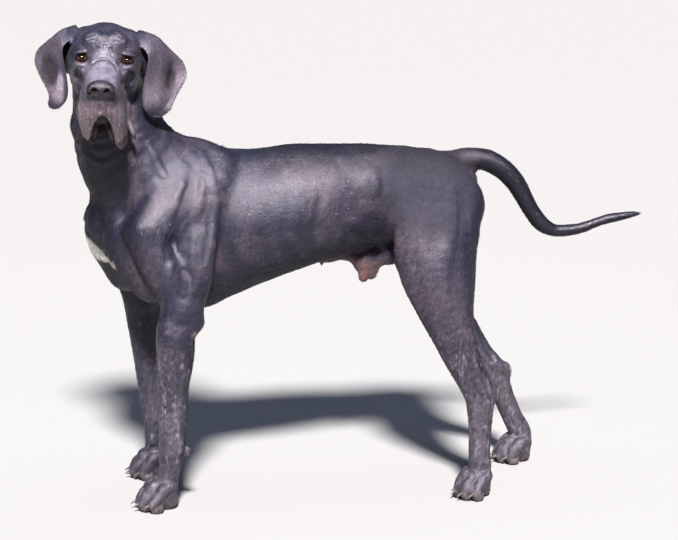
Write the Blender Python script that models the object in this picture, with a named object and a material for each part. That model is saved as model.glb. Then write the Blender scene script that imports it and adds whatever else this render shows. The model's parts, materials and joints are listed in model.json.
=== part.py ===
"""A great dane, standing with its head turned to its left, as a still life-size model.

Metres, +Z up. The dog faces -X, its left side is towards -Y, and the floor is z = 0. The origin is on the floor below the middle of the model.
The body is one flowing form: limbs, muscles and folds are simple solids given by their sizes, joined with soft fillets. That form is meshed,
thinned to flat faces, given small flats under the pads, and parted by thin cuts into its nodes. Eyes, claws and ears sit in beds cut for them.
"""
import bpy
import bmesh
import math
import numpy as np
from mathutils import Vector
from mathutils.bvhtree import BVHTree

# driving sizes
ORIGIN = (0.72886, -0.05734)        # the middle of the model in the frame it is drawn in
GAP = 0.0004                      # the gap between neighbouring pieces
BODY_STEP, HEAD_STEP = 0.0070, 0.0040
BODY_TRIANGLES, HEAD_TRIANGLES = 2900, 1250
CLAW_LONG, CLAW_R, CLAW_DROP = 0.021, 0.0044, 0.007
EYE_R = 0.0125
NECK_CUT, NECK_CUT_N = (0.175, -0.045, 0.985), (0.0, -0.763, 0.646)
# where the body is parted: the middle of each cut, the way it faces, and its half sizes
PLATES = [
    ((0.2375, 0, 0.755), (-0.642, 0, 0.767), (0.165, 0.185)),       # neck from trunk
    ((1.035, 0, 0.775), (1, 0, 0), (0.045, 0.045)),                 # root of the tail
    ((1.147, -0.003, 0.684), (0.50, 0, -0.866), (0.04, 0.04)),      # middle of the tail
    ((1.254, -0.007, 0.600), (1, 0, 0.05), (0.03, 0.03)),           # end of the tail
    ((0.312, -0.122, 0.418), (0, 0, 1), (0.065, 0.085)),            # left elbow
    ((0.268, 0.134, 0.418), (0, 0, 1), (0.065, 0.085)),             # right elbow
    ((0.303, -0.109, 0.160), (0, 0, 1), (0.045, 0.055)),            # left wrist
    ((0.284, 0.131, 0.160), (0, 0, 1), (0.045, 0.055)),             # right wrist
    ((0.295, -0.103, 0.080), (0, 0, 1), (0.045, 0.060)),            # left fore paw
    ((0.281, 0.133, 0.080), (0, 0, 1), (0.045, 0.060)),             # right fore paw
    ((0.930, -0.100, 0.576), (0, 0, 1), (0.075, 0.130)),            # left thigh
    ((0.930, 0.100, 0.576), (0, 0, 1), (0.075, 0.130)),             # right thigh
    ((0.945, -0.125, 0.400), (0, 0, 1), (0.060, 0.095)),            # left knee
    ((0.995, 0.114, 0.400), (0, 0, 1), (0.060, 0.095)),             # right knee
    ((1.015, -0.135, 0.200), (0, 0, 1), (0.045, 0.060)),            # left hock
    ((1.127, 0.110, 0.195), (0, 0, 1), (0.045, 0.060)),             # right hock
    ((1.016, -0.139, 0.080), (0, 0, 1), (0.050, 0.060)),            # left hind paw
    ((1.182, 0.110, 0.080), (0, 0, 1), (0.050, 0.060)),             # right hind paw
]
# the middle of each piece of flesh
NAMES = {
    "trunk": (0.57, 0, 0.635), "neck": (0.22, 0, 0.84), "head": (0.17, -0.15, 1.0), "tail_1": (1.10, 0, 0.73), "tail_2": (1.20, 0, 0.64), "tail_3": (1.345, -0.01, 0.62),
    "foreleg_left_arm": (0.31, -0.12, 0.29), "foreleg_left_wrist": (0.305, -0.108, 0.12), "foreleg_left_paw": (0.265, -0.10, 0.04),
    "foreleg_right_arm": (0.27, 0.13, 0.29), "foreleg_right_wrist": (0.285, 0.13, 0.12), "foreleg_right_paw": (0.265, 0.135, 0.04),
    "hindleg_left_thigh": (0.915, -0.10, 0.49), "hindleg_left_shank": (0.985, -0.13, 0.30), "hindleg_left_hock": (1.015, -0.138, 0.14), "hindleg_left_paw": (1.0, -0.14, 0.04),
    "hindleg_right_thigh": (0.95, 0.10, 0.49), "hindleg_right_shank": (1.06, 0.112, 0.30), "hindleg_right_hock": (1.15, 0.11, 0.14), "hindleg_right_paw": (1.165, 0.11, 0.04),
}



FAR = 0.09
PARTS = []          # the solid forms, in order
MARKS = []          # folds, veins and creases laid on the surface


def vec(*a):
    return np.array(a if len(a) > 1 else a[0], float)


def unit(v):
    v = np.asarray(v, float)
    return v / max(np.linalg.norm(v), 1e-12)


def smin(a, b, k):
    h = np.maximum(k - np.abs(a - b), 0.0)
    return np.minimum(a, b) - h * h * (0.25 / k)


def step(x, a, b):
    t = np.clip((x - a) / (b - a), 0.0, 1.0)
    return t * t * (3 - 2 * t)


def smooth_rows(rows, per=4):
    """Catmull-Rom through the rows of a table."""
    rows = np.array(rows, float)
    n = len(rows)
    out = []
    for i in range(n - 1):
        p0, p1, p2, p3 = rows[max(i - 1, 0)], rows[i], rows[i + 1], rows[min(i + 2, n - 1)]
        for j in range(per):
            t = j / per
            out.append(0.5 * (2 * p1 + (p2 - p0) * t + (2 * p0 - 5 * p1 + 4 * p2 - p3) * t * t + (3 * p1 - p0 - 3 * p2 + p3) * t ** 3))
    out.append(rows[-1])
    return np.array(out)


def put(fn, lo, hi, k=0.01, op=1, warp=None, into=None):
    (PARTS if into is None else into).append((np.array(lo, float), np.array(hi, float), k, op, fn, warp))


def limb_fn(rows, fore, per=3):
    """rows: x, y, z, side radius, fore radius, aft radius."""
    R = smooth_rows(rows, per)
    segs = []
    last = len(R) - 2
    for i, (a, b) in enumerate(zip(R[:-1], R[1:])):
        t = b[:3] - a[:3]
        L = np.linalg.norm(t)
        t = t / L
        f = np.asarray(fore, float)
        f = unit(f - f.dot(t) * t)
        s = np.cross(t, f)
        segs.append((a[:3], t, f, s, L, a[3:], b[3:], i == 0, i == last))

    def fn(P):
        d = None
        for a, t, f, s, L, ra, rb, first, end in segs:
            q = P - a
            w = q @ t
            c = np.clip(w / L, 0.0, 1.0)
            r = ra + c[..., None] * (rb - ra)
            w = w - c * L
            u = q @ s
            v = q @ f
            ru = r[..., 0]
            rv = np.where(v > 0, r[..., 1], r[..., 2])
            lo_r = np.minimum(ru, np.minimum(r[..., 1], r[..., 2]))
            hi_r = np.maximum(ru, rv)
            rw = np.where(w < 0, lo_r if first else hi_r, lo_r if end else hi_r)
            a0, a1, a2 = u / ru, v / rv, w / rw
            k0 = np.sqrt(a0 * a0 + a1 * a1 + a2 * a2) + 1e-9
            k1 = np.sqrt((a0 / ru) ** 2 + (a1 / rv) ** 2 + (a2 / rw) ** 2) + 1e-9
            e = k0 * (k0 - 1.0) / k1
            d = e if d is None else np.minimum(d, e)
        return d

    m = R[:, 3:].max(1)[:, None]
    return fn, (R[:, :3] - m).min(0), (R[:, :3] + m).max(0)


def limb(rows, fore=(-1, 0, 0), k=0.012, op=1, per=3, warp=None, mirror=False, into=None):
    fn, lo, hi = limb_fn(rows, fore, per)
    put(fn, lo, hi, k, op, warp, into)
    if mirror:
        rows = [[r[0], -r[1], *r[2:]] for r in rows]
        fore = (fore[0], -fore[1], fore[2])
        fn, lo, hi = limb_fn(rows, fore, per)
        put(fn, lo, hi, k, op, warp, into)


def axes_from(long, up=(0, 0, 1)):
    """Rows: the long axis, the side and the top."""
    a = unit(long)
    u = np.asarray(up, float)
    u = u - u.dot(a) * a
    if np.linalg.norm(u) < 1e-6:
        u = np.array([1.0, 0, 0]) - a[0] * a
    u = unit(u)
    return np.array([a, np.cross(u, a), u])


def ball_fn(c, r, A=None):
    c = np.asarray(c, float)
    r = np.asarray(r, float)
    A = np.eye(3) if A is None else np.asarray(A, float)

    def fn(P):
        q = (P - c) @ A.T
        a = q / r
        k0 = np.sqrt((a * a).sum(-1)) + 1e-9
        k1 = np.sqrt(((a / r) ** 2).sum(-1)) + 1e-9
        return k0 * (k0 - 1.0) / k1

    e = np.sqrt(((A * r[:, None]) ** 2).sum(0))
    return fn, c - e, c + e


def ball(c, r, A=None, k=0.012, op=1, warp=None, mirror=False, into=None):
    fn, lo, hi = ball_fn(c, r, A)
    put(fn, lo, hi, k, op, warp, into)
    if mirror:
        c = (c[0], -c[1], c[2])
        if A is not None:
            A = np.array(A, float) * np.array([1, -1, 1])
        fn, lo, hi = ball_fn(c, r, A)
        put(fn, lo, hi, k, op, warp, into)


def sheet_fn(grid, thick):
    """grid: (m, n, 3) points of the middle surface; thick: (m, n) half thickness."""
    m, n = grid.shape[:2]
    pts = grid.reshape(-1, 3)
    th = thick.reshape(-1)
    tris = []
    for i in range(m - 1):
        for j in range(n - 1):
            a = i * n + j
            tris.append((a, a + 1, a + n + 1))
            tris.append((a, a + n + 1, a + n))
    tree = BVHTree.FromPolygons([Vector(p) for p in pts], tris)
    tt = np.array([th[list(t)].mean() for t in tris])
    R = float(th.max())

    def fn(P):
        shape = P.shape[:-1]
        Q = P.reshape(-1, 3)
        out = np.full(len(Q), FAR)
        find = tree.find_nearest
        for i, q in enumerate(Q.tolist()):
            r = find(q, 0.045)
            if r[0] is not None:
                out[i] = r[3] - tt[r[2]]
        return out.reshape(shape)

    return fn, pts.min(0) - R, pts.max(0) + R


def evaluate(P, parts, far=FAR):
    """The field at points P (N, 3): negative inside."""
    d = np.full(len(P), far)
    for lo, hi, k, op, fn, warp in parts:
        m = k + 0.022
        on = np.nonzero(((P > lo - m) & (P < hi + m)).all(1))[0]
        if not len(on):
            continue
        Q = P[on]
        e = fn(warp(Q) if warp else Q)
        if op == 1:
            d[on] = smin(d[on], e, k)
        elif op == -1:
            d[on] = -smin(-d[on], e, k)
        else:
            d[on] -= e
    return d


def field_grid(parts, lo, hi, h):
    n = np.ceil((np.asarray(hi) - lo) / h).astype(int) + 1
    ax = [lo[i] + h * np.arange(n[i]) for i in range(3)]
    D = np.full(n, FAR, np.float32)
    for plo, phi, k, op, fn, warp in parts:
        m = k + 0.022
        s = [slice(max(int((plo[i] - m - lo[i]) / h), 0), min(int((phi[i] + m - lo[i]) / h) + 2, n[i])) for i in range(3)]
        if any(x.stop <= x.start for x in s):
            continue
        P = np.stack(np.meshgrid(*[ax[i][s[i]] for i in range(3)], indexing="ij"), -1)
        cur = D[s[0], s[1], s[2]]
        if op != 1:
            near = cur < 0.03
            if not near.any():
                continue
            Q = P[near]
            e = fn(warp(Q) if warp else Q)
            cur[near] = (-smin(-cur[near], e, k)) if op == -1 else cur[near] - e
        else:
            e = fn(warp(P) if warp else P)
            D[s[0], s[1], s[2]] = smin(cur, e, k)
    return D


CORNERS = [(i, j, k) for i in (0, 1) for j in (0, 1) for k in (0, 1)]
EDGES = [(a, b) for a in CORNERS for b in CORNERS if a < b and sum(x != y for x, y in zip(a, b)) == 1]


def one_piece(corners):
    """True where the corners hang together along the cell's edges."""
    corners = set(corners)
    if not corners:
        return True
    todo = [corners.pop()]
    while todo:
        a = todo.pop()
        for b in [c for c in corners if sum(x != y for x, y in zip(a, c)) == 1]:
            corners.remove(b)
            todo.append(b)
    return not corners


def sealed(D, h):
    """Fills the clefts that are too narrow for the grid, so that the surface never touches itself."""
    table = np.array([not (one_piece([c for i, c in enumerate(CORNERS) if code >> i & 1]) and one_piece([c for i, c in enumerate(CORNERS) if not code >> i & 1]))
                      for code in range(256)])
    n = D.shape
    for _ in range(12):
        S = D < 0
        code = np.zeros([x - 1 for x in n], np.int32)
        for i, c in enumerate(CORNERS):
            code += S[c[0]:n[0] - 1 + c[0], c[1]:n[1] - 1 + c[1], c[2]:n[2] - 1 + c[2]].astype(np.int32) << i
        bad = np.argwhere(table[code])
        if not len(bad):
            break
        for c in CORNERS:
            at = tuple((bad + c).T)
            D[at] = np.minimum(D[at], -0.02 * h)
    return D


def nets(D, lo, h):
    """Surface nets: (points, quads) of the zero level, faces outward."""
    D = sealed(D, h)
    n = D.shape
    S = D < 0
    cnt = np.zeros([x - 1 for x in n], np.int8)
    for c in CORNERS:
        cnt += S[c[0]:n[0] - 1 + c[0], c[1]:n[1] - 1 + c[1], c[2]:n[2] - 1 + c[2]]
    cells = np.argwhere((cnt > 0) & (cnt < 8))
    index = np.full(cnt.shape, -1, np.int32)
    index[tuple(cells.T)] = np.arange(len(cells))
    acc = np.zeros((len(cells), 3))
    num = np.zeros(len(cells))
    for a, b in EDGES:
        fa = D[tuple((cells + a).T)].astype(float)
        fb = D[tuple((cells + b).T)].astype(float)
        x = (fa < 0) != (fb < 0)
        t = np.where(x, fa / np.where(x, fa - fb, 1), 0)
        acc += np.where(x[:, None], np.array(a) + t[:, None] * (np.array(b) - np.array(a)), 0)
        num += x
    pts = lo + (cells + acc / num[:, None]) * h
    quads = []
    for ax in range(3):
        o = [0, 0, 0]
        o[ax] = 1
        A = S[tuple(slice(0, n[i] - o[i]) for i in range(3))]
        B = S[tuple(slice(o[i], n[i]) for i in range(3))]
        u, v = [(1, 2), (2, 0), (0, 1)][ax]
        for flip, e in ((False, A & ~B), (True, ~A & B)):
            at = np.argwhere(e)
            at = at[(at[:, u] > 0) & (at[:, v] > 0) & (at[:, u] < n[u] - 1) & (at[:, v] < n[v] - 1)]
            q = []
            for du, dv in ((0, 0), (-1, 0), (-1, -1), (0, -1)):
                c = at.copy()
                c[:, u] += du
                c[:, v] += dv
                q.append(index[tuple(c.T)])
            q = np.stack(q, 1)
            quads.append(q[:, ::-1] if flip else q)
    return pts, np.concatenate(quads)


TETRA = np.array([[1, 1, 1], [1, -1, -1], [-1, 1, -1], [-1, -1, 1]], float)


def block_order(P, size):
    key = np.floor((P - P.min(0)) / size).astype(np.int64)
    key = key[:, 0] * 1000000 + key[:, 1] * 1000 + key[:, 2]
    order = np.argsort(key, kind="stable")
    cuts = np.nonzero(np.diff(key[order]))[0] + 1
    return np.split(order, cuts)


def value_and_slope(P, parts, e=0.0006, size=0.07):
    val = np.empty(len(P))
    grad = np.empty((len(P), 3))
    for on in block_order(P, size):
        Q = P[on]
        lo, hi = Q.min(0), Q.max(0)
        near = [p for p in parts if (p[0] - p[2] - 0.022 < hi).all() and (p[1] + p[2] + 0.022 > lo).all()]
        pts = np.concatenate([Q + e * t for t in TETRA])
        f = evaluate(pts, near).reshape(4, -1)
        val[on] = f.mean(0)
        grad[on] = (TETRA.T @ f).T * (0.75 / e) / 3.0
    return val, grad


def settle(P, parts, level=0.0, rounds=3, most=0.004):
    """Moves points onto the given level of the field."""
    for _ in range(rounds):
        f, g = value_and_slope(P, parts)
        n2 = np.maximum((g * g).sum(1), 0.04)
        m = ((f - level) / n2)[:, None] * g
        L = np.linalg.norm(m, axis=1, keepdims=True)
        P = P - m * np.minimum(1.0, most / np.maximum(L, 1e-12))
    return P


# ------------------------------------------------------------------ trunk
FRONT_TURN = 0.33     # how far the shoulders are turned towards the viewer's side, as a slope


def turn(P):
    """The shoulders' turn: undoes the shear of the front of the body."""
    Q = np.array(P, float)
    w = step(-P[..., 0], -0.78, -0.30) * step(P[..., 2], 0.10, 0.42)
    Q[..., 0] = P[..., 0] + FRONT_TURN * P[..., 1] * w
    return Q


TRUNK = [  # x, top, bottom, height of the widest line, half width, roundness above, below
    (0.185, 0.655, 0.565, 0.610, 0.040, 2.0, 2.0),
    (0.205, 0.725, 0.512, 0.615, 0.074, 2.0, 2.0),
    (0.24, 0.765, 0.478, 0.625, 0.100, 2.0, 1.9),
    (0.29, 0.800, 0.455, 0.630, 0.112, 1.9, 1.8),
    (0.35, 0.830, 0.446, 0.640, 0.118, 1.8, 1.75),
    (0.40, 0.832, 0.447, 0.650, 0.125, 1.75, 1.75),
    (0.45, 0.815, 0.470, 0.655, 0.132, 1.8, 1.8),
    (0.52, 0.812, 0.498, 0.660, 0.137, 1.9, 1.85),
    (0.60, 0.820, 0.526, 0.668, 0.134, 2.0, 1.9),
    (0.68, 0.819, 0.550, 0.680, 0.124, 2.1, 2.0),
    (0.76, 0.817, 0.573, 0.695, 0.109, 2.1, 2.0),
    (0.84, 0.812, 0.592, 0.705, 0.100, 2.0, 2.0),
    (0.90, 0.804, 0.606, 0.712, 0.097, 1.9, 2.0),
    (0.95, 0.792, 0.630, 0.715, 0.088, 1.9, 2.0),
    (0.985, 0.776, 0.660, 0.718, 0.068, 1.9, 2.0),
    (1.005, 0.755, 0.690, 0.722, 0.040, 2.0, 2.0),
]


def trunk_parts(table, cap0=0.035, cap1=0.03):
    T = smooth_rows(table, 4)
    xs = T[:, 0]

    def fn(P):
        x = P[..., 0]
        t, b, zw, w, nu, nl = [np.interp(x, xs, T[:, i]) for i in range(1, 7)]
        u = np.abs(P[..., 1]) / w
        dz = P[..., 2] - zw
        h = np.where(dz > 0, t - zw, zw - b)
        n = np.where(dz > 0, nu, nl)
        v = np.abs(dz) / h
        e = np.maximum(xs[0] - x, 0) / cap0 + np.maximum(x - xs[-1], 0) / cap1
        s = u ** n + v ** n + 1e-12
        k0 = s ** (1 / n)
        g = k0 ** (1 - n) * np.sqrt((u ** (n - 1) / w) ** 2 + (v ** (n - 1) / h) ** 2)
        k = np.sqrt(k0 * k0 + e * e)
        return (k - 1.0) / np.maximum(g, 4.0)

    put(fn, (xs[0] - cap0 - .03, -0.19, 0.42), (xs[-1] + cap1, 0.19, 0.86), 0.012, 1, turn)


trunk_parts(TRUNK)

# shoulder blade, upper arm and breast, on both sides of the turned front
for s in (-1, 1):
    limb([(0.400, s * 0.040, 0.800, 0.022, 0.035, 0.045),
          (0.350, s * 0.078, 0.765, 0.024, 0.050, 0.060),
          (0.280, s * 0.105, 0.710, 0.028, 0.050, 0.062),
          (0.215, s * 0.118, 0.655, 0.032, 0.038, 0.050)], k=0.035, warp=turn)
    limb([(0.205, s * 0.118, 0.648, 0.034, 0.040, 0.042),
          (0.238, s * 0.130, 0.570, 0.032, 0.042, 0.044),
          (0.280, s * 0.130, 0.490, 0.032, 0.040, 0.045),
          (0.300, s * 0.126, 0.440, 0.032, 0.042, 0.040)], k=0.020, warp=turn)
    # triceps, from the blade's rear edge down to the point of the elbow
    limb([(0.372, s * 0.100, 0.705, 0.022, 0.040, 0.030),
          (0.340, s * 0.120, 0.625, 0.028, 0.060, 0.038),
          (0.325, s * 0.130, 0.545, 0.027, 0.055, 0.036),
          (0.311, s * 0.130, 0.475, 0.022, 0.038, 0.023),
          (0.312, s * 0.127, 0.450, 0.018, 0.024, 0.013)], k=0.018, warp=turn)
    # breast muscle
    ball((0.192, s * 0.050, 0.605), (0.046, 0.048, 0.080), axes_from((1, 0, 0.30)), k=0.022, warp=turn)
    ball((0.235, s * 0.070, 0.530), (0.044, 0.042, 0.060), axes_from((1, 0, 0.45)), k=0.030, warp=turn)
    # rump muscle and seat bone
    ball((0.925, s * 0.056, 0.722), (0.092, 0.050, 0.066), axes_from((1, 0, -0.42)), k=0.030)
    ball((0.862, s * 0.050, 0.782), (0.030, 0.022, 0.018), k=0.022)
    ball((1.000, s * 0.062, 0.674), (0.038, 0.034, 0.050), k=0.026)
ball((0.160, 0, 0.655), (0.034, 0.030, 0.050), k=0.026, warp=turn)   # point of the breastbone

# ------------------------------------------------------------------ neck
limb([(0.345, 0.000, 0.680, 0.105, 0.150, 0.110),
      (0.290, 0.000, 0.745, 0.102, 0.150, 0.112),
      (0.240, -0.004, 0.815, 0.094, 0.132, 0.095),
      (0.208, -0.008, 0.875, 0.086, 0.104, 0.092),
      (0.190, -0.012, 0.940, 0.080, 0.088, 0.088),
      (0.182, -0.024, 0.990, 0.076, 0.076, 0.078),
      (0.178, -0.040, 1.030, 0.066, 0.064, 0.066)], fore=(-1, 0, 0), k=0.035)

ball((0.130, -0.014, 0.874), (0.030, 0.046, 0.026), k=0.022)            # loose skin of the throat

# ------------------------------------------------------------------ tail
TAIL = [(0.960, 0, 0.762, .030), (1.000, 0, 0.774, .028), (1.035, 0, 0.775, .0275), (1.062, 0, 0.769, .0272), (1.097, -.001, 0.748, .0256),
        (1.127, -.002, 0.717, .0238), (1.147, -.003, 0.684, .0217), (1.166, -.004, 0.650, .0198), (1.191, -.005, 0.618, .0187),
        (1.221, -.006, 0.601, .0160), (1.254, -.007, 0.600, .0150), (1.290, -.008, 0.605, .0131), (1.322, -.009, 0.616, .0121),
        (1.352, -.010, 0.625, .0116), (1.385, -.011, 0.630, .0105), (1.410, -.012, 0.634, .0085), (1.430, -.012, 0.636, .0045)]
limb([(x, y, z, r, r, r) for x, y, z, r in TAIL], fore=(0, 0, 1), k=0.022)

# ------------------------------------------------------------------ fore legs
limb([(0.328, -0.126, 0.470, 0.036, 0.046, 0.036),
      (0.315, -0.124, 0.420, 0.038, 0.046, 0.044),
      (0.314, -0.120, 0.360, 0.036, 0.046, 0.043),
      (0.309, -0.116, 0.300, 0.031, 0.040, 0.037),
      (0.306, -0.113, 0.240, 0.027, 0.036, 0.034),
      (0.305, -0.110, 0.185, 0.0265, 0.034, 0.031),
      (0.303, -0.109, 0.150, 0.029, 0.032, 0.030),
      (0.299, -0.108, 0.120, 0.0275, 0.028, 0.026),
      (0.296, -0.103, 0.085, 0.0255, 0.025, 0.024),
      (0.290, -0.100, 0.055, 0.027, 0.026, 0.024)], k=0.014)
ball((0.342, -0.130, 0.434), (0.015, 0.016, 0.020), k=0.014)          # point of the elbow
ball((0.336, -0.110, 0.133), (0.011, 0.010, 0.015), k=0.008)          # stopper pad
limb([(0.258, 0.128, 0.470, 0.036, 0.044, 0.036),
      (0.262, 0.134, 0.420, 0.038, 0.048, 0.046),
      (0.268, 0.134, 0.360, 0.036, 0.045, 0.043),
      (0.272, 0.133, 0.300, 0.031, 0.040, 0.037),
      (0.276, 0.132, 0.240, 0.027, 0.036, 0.034),
      (0.281, 0.131, 0.180, 0.0265, 0.034, 0.031),
      (0.284, 0.130, 0.145, 0.029, 0.031, 0.030),
      (0.283, 0.131, 0.115, 0.0275, 0.028, 0.026),
      (0.281, 0.133, 0.080, 0.0255, 0.025, 0.024),
      (0.277, 0.134, 0.055, 0.027, 0.026, 0.024)], k=0.014)
ball((0.284, 0.135, 0.440), (0.020, 0.017, 0.022), k=0.020)
ball((0.316, 0.131, 0.130), (0.011, 0.010, 0.015), k=0.008)

# ------------------------------------------------------------------ hind legs
limb([(0.930, -0.066, 0.715, 0.045, 0.090, 0.088),
      (0.918, -0.086, 0.650, 0.050, 0.100, 0.104),
      (0.912, -0.100, 0.590, 0.050, 0.096, 0.101),
      (0.914, -0.110, 0.535, 0.048, 0.088, 0.093),
      (0.925, -0.118, 0.480, 0.045, 0.074, 0.077),
      (0.939, -0.124, 0.430, 0.041, 0.062, 0.062),
      (0.954, -0.128, 0.380, 0.037, 0.050, 0.050),
      (0.974, -0.130, 0.330, 0.033, 0.045, 0.044),
      (0.996, -0.132, 0.285, 0.029, 0.041, 0.038),
      (1.014, -0.134, 0.240, 0.027, 0.037, 0.036),
      (1.015, -0.136, 0.200, 0.025, 0.031, 0.032),
      (1.015, -0.138, 0.160, 0.023, 0.027, 0.028),
      (1.014, -0.140, 0.110, 0.0235, 0.026, 0.026),
      (1.016, -0.139, 0.075, 0.026, 0.027, 0.028),
      (1.014, -0.139, 0.052, 0.027, 0.026, 0.026)], k=0.022)
ball((1.046, -0.134, 0.246), (0.015, 0.013, 0.022), k=0.014)          # point of the hock
limb([(0.930, 0.066, 0.715, 0.045, 0.090, 0.088),
      (0.926, 0.086, 0.650, 0.050, 0.100, 0.094),
      (0.930, 0.098, 0.590, 0.050, 0.096, 0.090),
      (0.944, 0.106, 0.535, 0.048, 0.088, 0.080),
      (0.962, 0.111, 0.480, 0.045, 0.073, 0.068),
      (0.984, 0.114, 0.430, 0.041, 0.060, 0.056),
      (1.008, 0.114, 0.375, 0.037, 0.049, 0.048),
      (1.040, 0.113, 0.325, 0.033, 0.043, 0.042),
      (1.076, 0.112, 0.275, 0.029, 0.037, 0.036),
      (1.110, 0.111, 0.236, 0.027, 0.034, 0.034),
      (1.127, 0.110, 0.200, 0.025, 0.030, 0.029),
      (1.142, 0.110, 0.160, 0.023, 0.027, 0.026),
      (1.163, 0.110, 0.112, 0.0235, 0.026, 0.026),
      (1.182, 0.110, 0.075, 0.026, 0.028, 0.028),
      (1.184, 0.110, 0.050, 0.027, 0.028, 0.028)], k=0.022)
ball((1.142, 0.111, 0.232), (0.016, 0.013, 0.022), k=0.014)


# ------------------------------------------------------------------ paws
CLAWS = []


def paw(name, x, y, heading, out, size=1.0, lift=0.0):
    """A paw whose main pad stands at (x, y). heading is the toes' turn in degrees from straight ahead, positive to the dog's left; out is +1 where
    the outer side is the dog's left."""
    a = math.radians(heading)
    f = np.array([-math.cos(a), -math.sin(a), 0.0])
    q = np.array([math.sin(a), -math.cos(a), 0.0]) * out   # towards the outer side

    def at(p, w, z):
        v = np.array([x, y, lift]) + size * (p * f + w * q)
        return (v[0], v[1], lift + size * z)

    toes = [(-0.033, -0.020, "inner"), (-0.0118, 0.0, "mid_in"), (0.0118, 0.0, "mid_out"), (0.033, -0.018, "outer")]
    for w, back, label in toes:
        splay = 1.04
        rows = [(*at(-0.004 + back * .5, w * 0.62, 0.054), .012, .012, .014),
                (*at(0.018 + back, w * 0.88, 0.060), .0128, .012, .016),
                (*at(0.036 + back, w, 0.050), .0138, .0130, .018),
                (*at(0.050 + back, w * splay, 0.031), .0130, .0130, .015),
                (*at(0.059 + back, w * splay, 0.019), .0108, .0100, .0100)]
        rows = [(r[0], r[1], r[2], *(size * np.array(r[3:]))) for r in rows]
        limb(rows, fore=(0, 0, 1), k=0.0055)
        ball(at(0.047 + back, w * splay, 0.0105), size * np.array([.0165, .0118, .0125]), axes_from(f), k=0.004)
        tip = np.array(at(0.068 + back, w * splay, 0.0200))
        CLAWS.append((name + "_" + label, tip, f, size))
    ball(at(-0.004, 0, 0.0145), size * np.array([.026, .029, .0165]), axes_from(f), k=0.008)
    ball(at(0.006, 0, 0.044), size * np.array([.036, .032, .024]), axes_from(f), k=0.012)
    ball(at(0.016, 0, 0.029), size * np.array([.046, .038, .023]), axes_from(f), k=0.008)
    for w in (-0.023, 0.0, 0.023):                                    # webs between the toes
        ball(at(0.034 - 14 * w * w, w, 0.026), size * np.array([.022, .010, .018]), axes_from(f), k=0.006)


paw("foreleg_left", 0.285, -0.098, 12, 1)
paw("foreleg_right", 0.285, 0.138, 0, -1)
paw("hindleg_left", 1.014, -0.137, 27, 1, 0.95)
paw("hindleg_right", 1.180, 0.110, 6, -1, 0.97)

# dewclaws on the inner side of the fore pasterns
for name, p in (("foreleg_left", (0.283, -0.084, 0.104)), ("foreleg_right", (0.271, 0.108, 0.100))):
    s = 1 if p[1] < 0 else -1
    ball(p, (0.0085, 0.0085, 0.014), k=0.008)
    CLAWS.append((name + "_dewclaw", vec(p[0] - 0.006, p[1] + s * 0.003, p[2] - 0.010), unit((-0.50, s * 0.15, -0.85)), 0.75))

# ------------------------------------------------------------------ head
EYES_AT = vec(0.171, -0.150, 1.0325)      # between the eyes
HEAD_TURN, HEAD_DROP, HEAD_TILT = 84.3, 12.27, 3.86    # degrees: to the dog's left, down, and over to its left
_t, _d, _r = (math.radians(a) for a in (HEAD_TURN, HEAD_DROP, HEAD_TILT))
hf = vec(-math.cos(_t) * math.cos(_d), -math.sin(_t) * math.cos(_d), -math.sin(_d))
_l = vec(math.sin(_t), -math.cos(_t), 0)
_u = np.cross(hf, _l)
hl = math.cos(_r) * _l - math.sin(_r) * _u
hu = np.cross(hf, hl)
HEAD = np.array([hf, hl, hu])             # rows: forward, left, up


def to_head(P):
    return (P - EYES_AT) @ HEAD.T


def from_head(p):
    return EYES_AT + np.asarray(p, float) @ HEAD


H = []   # head parts, in the head's own frame


def hb(c, r, A=None, k=0.012, op=1, mirror=False):
    ball(c, r, A, k, op, None, mirror, into=H)


def hlimb(rows, fore, k=0.012, op=1, mirror=False, per=3):
    limb(rows, fore, k, op, per, None, mirror, into=H)


hb((-0.078, 0, 0.000), (0.088, 0.068, 0.053))                                            # brain case
hb((-0.150, 0, 0.012), (0.022, 0.020, 0.022), k=0.02)                                    # back of the skull
hb((-0.068, 0.052, 0.000), (0.058, 0.028, 0.043), k=0.018, mirror=True)                  # temple muscle
hb((-0.034, 0, 0.006), (0.048, 0.050, 0.038), k=0.016)                                   # forehead
hb((-0.0135, 0.0270, 0.0265), (0.0195, 0.0190, 0.0165), k=0.014, mirror=True)                # brow
hb((-0.022, 0.024, 0.040), (0.018, 0.022, 0.013), k=0.014, mirror=True)
hb((-0.024, 0.050, 0.012), (0.026, 0.020, 0.016), axes_from((1, -0.25, 0.10)), k=0.010, mirror=True)   # rim above the eye
hb((-0.042, 0.060, -0.018), (0.056, 0.019, 0.018), axes_from((1, -0.22, 0.02)), k=0.013, mirror=True)  # cheek bone
hb((-0.006, 0.045, -0.019), (0.022, 0.017, 0.012), axes_from((1, -0.15, 0.0)), k=0.010, mirror=True)   # pouch below the eye
hb((-0.060, 0.053, -0.055), (0.048, 0.025, 0.042), k=0.016, mirror=True)                 # cheek muscle
hb((-0.050, 0, -0.040), (0.070, 0.055, 0.050), k=0.02)
hb((-0.080, 0.082, -0.022), (0.026, 0.019, 0.042), k=0.010, mirror=True)                 # root of the ear
# muzzle
hlimb([(-0.010, 0, -0.034, 0.044, 0.044, 0.044), (0.040, 0, -0.037, 0.039, 0.040, 0.042), (0.090, 0, -0.039, 0.037, 0.037, 0.040),
       (0.122, 0, -0.041, 0.035, 0.034, 0.034)], (0, 0, 1), k=0.016)
hlimb([(-0.004, 0.016, -0.012, 0.018, 0.017, 0.02), (0.060, 0.0175, -0.017, 0.016, 0.0155, 0.02), (0.126, 0.0160, -0.021, 0.014, 0.0135, 0.018)], (0, 0, 1), k=0.012, mirror=True)
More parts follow.
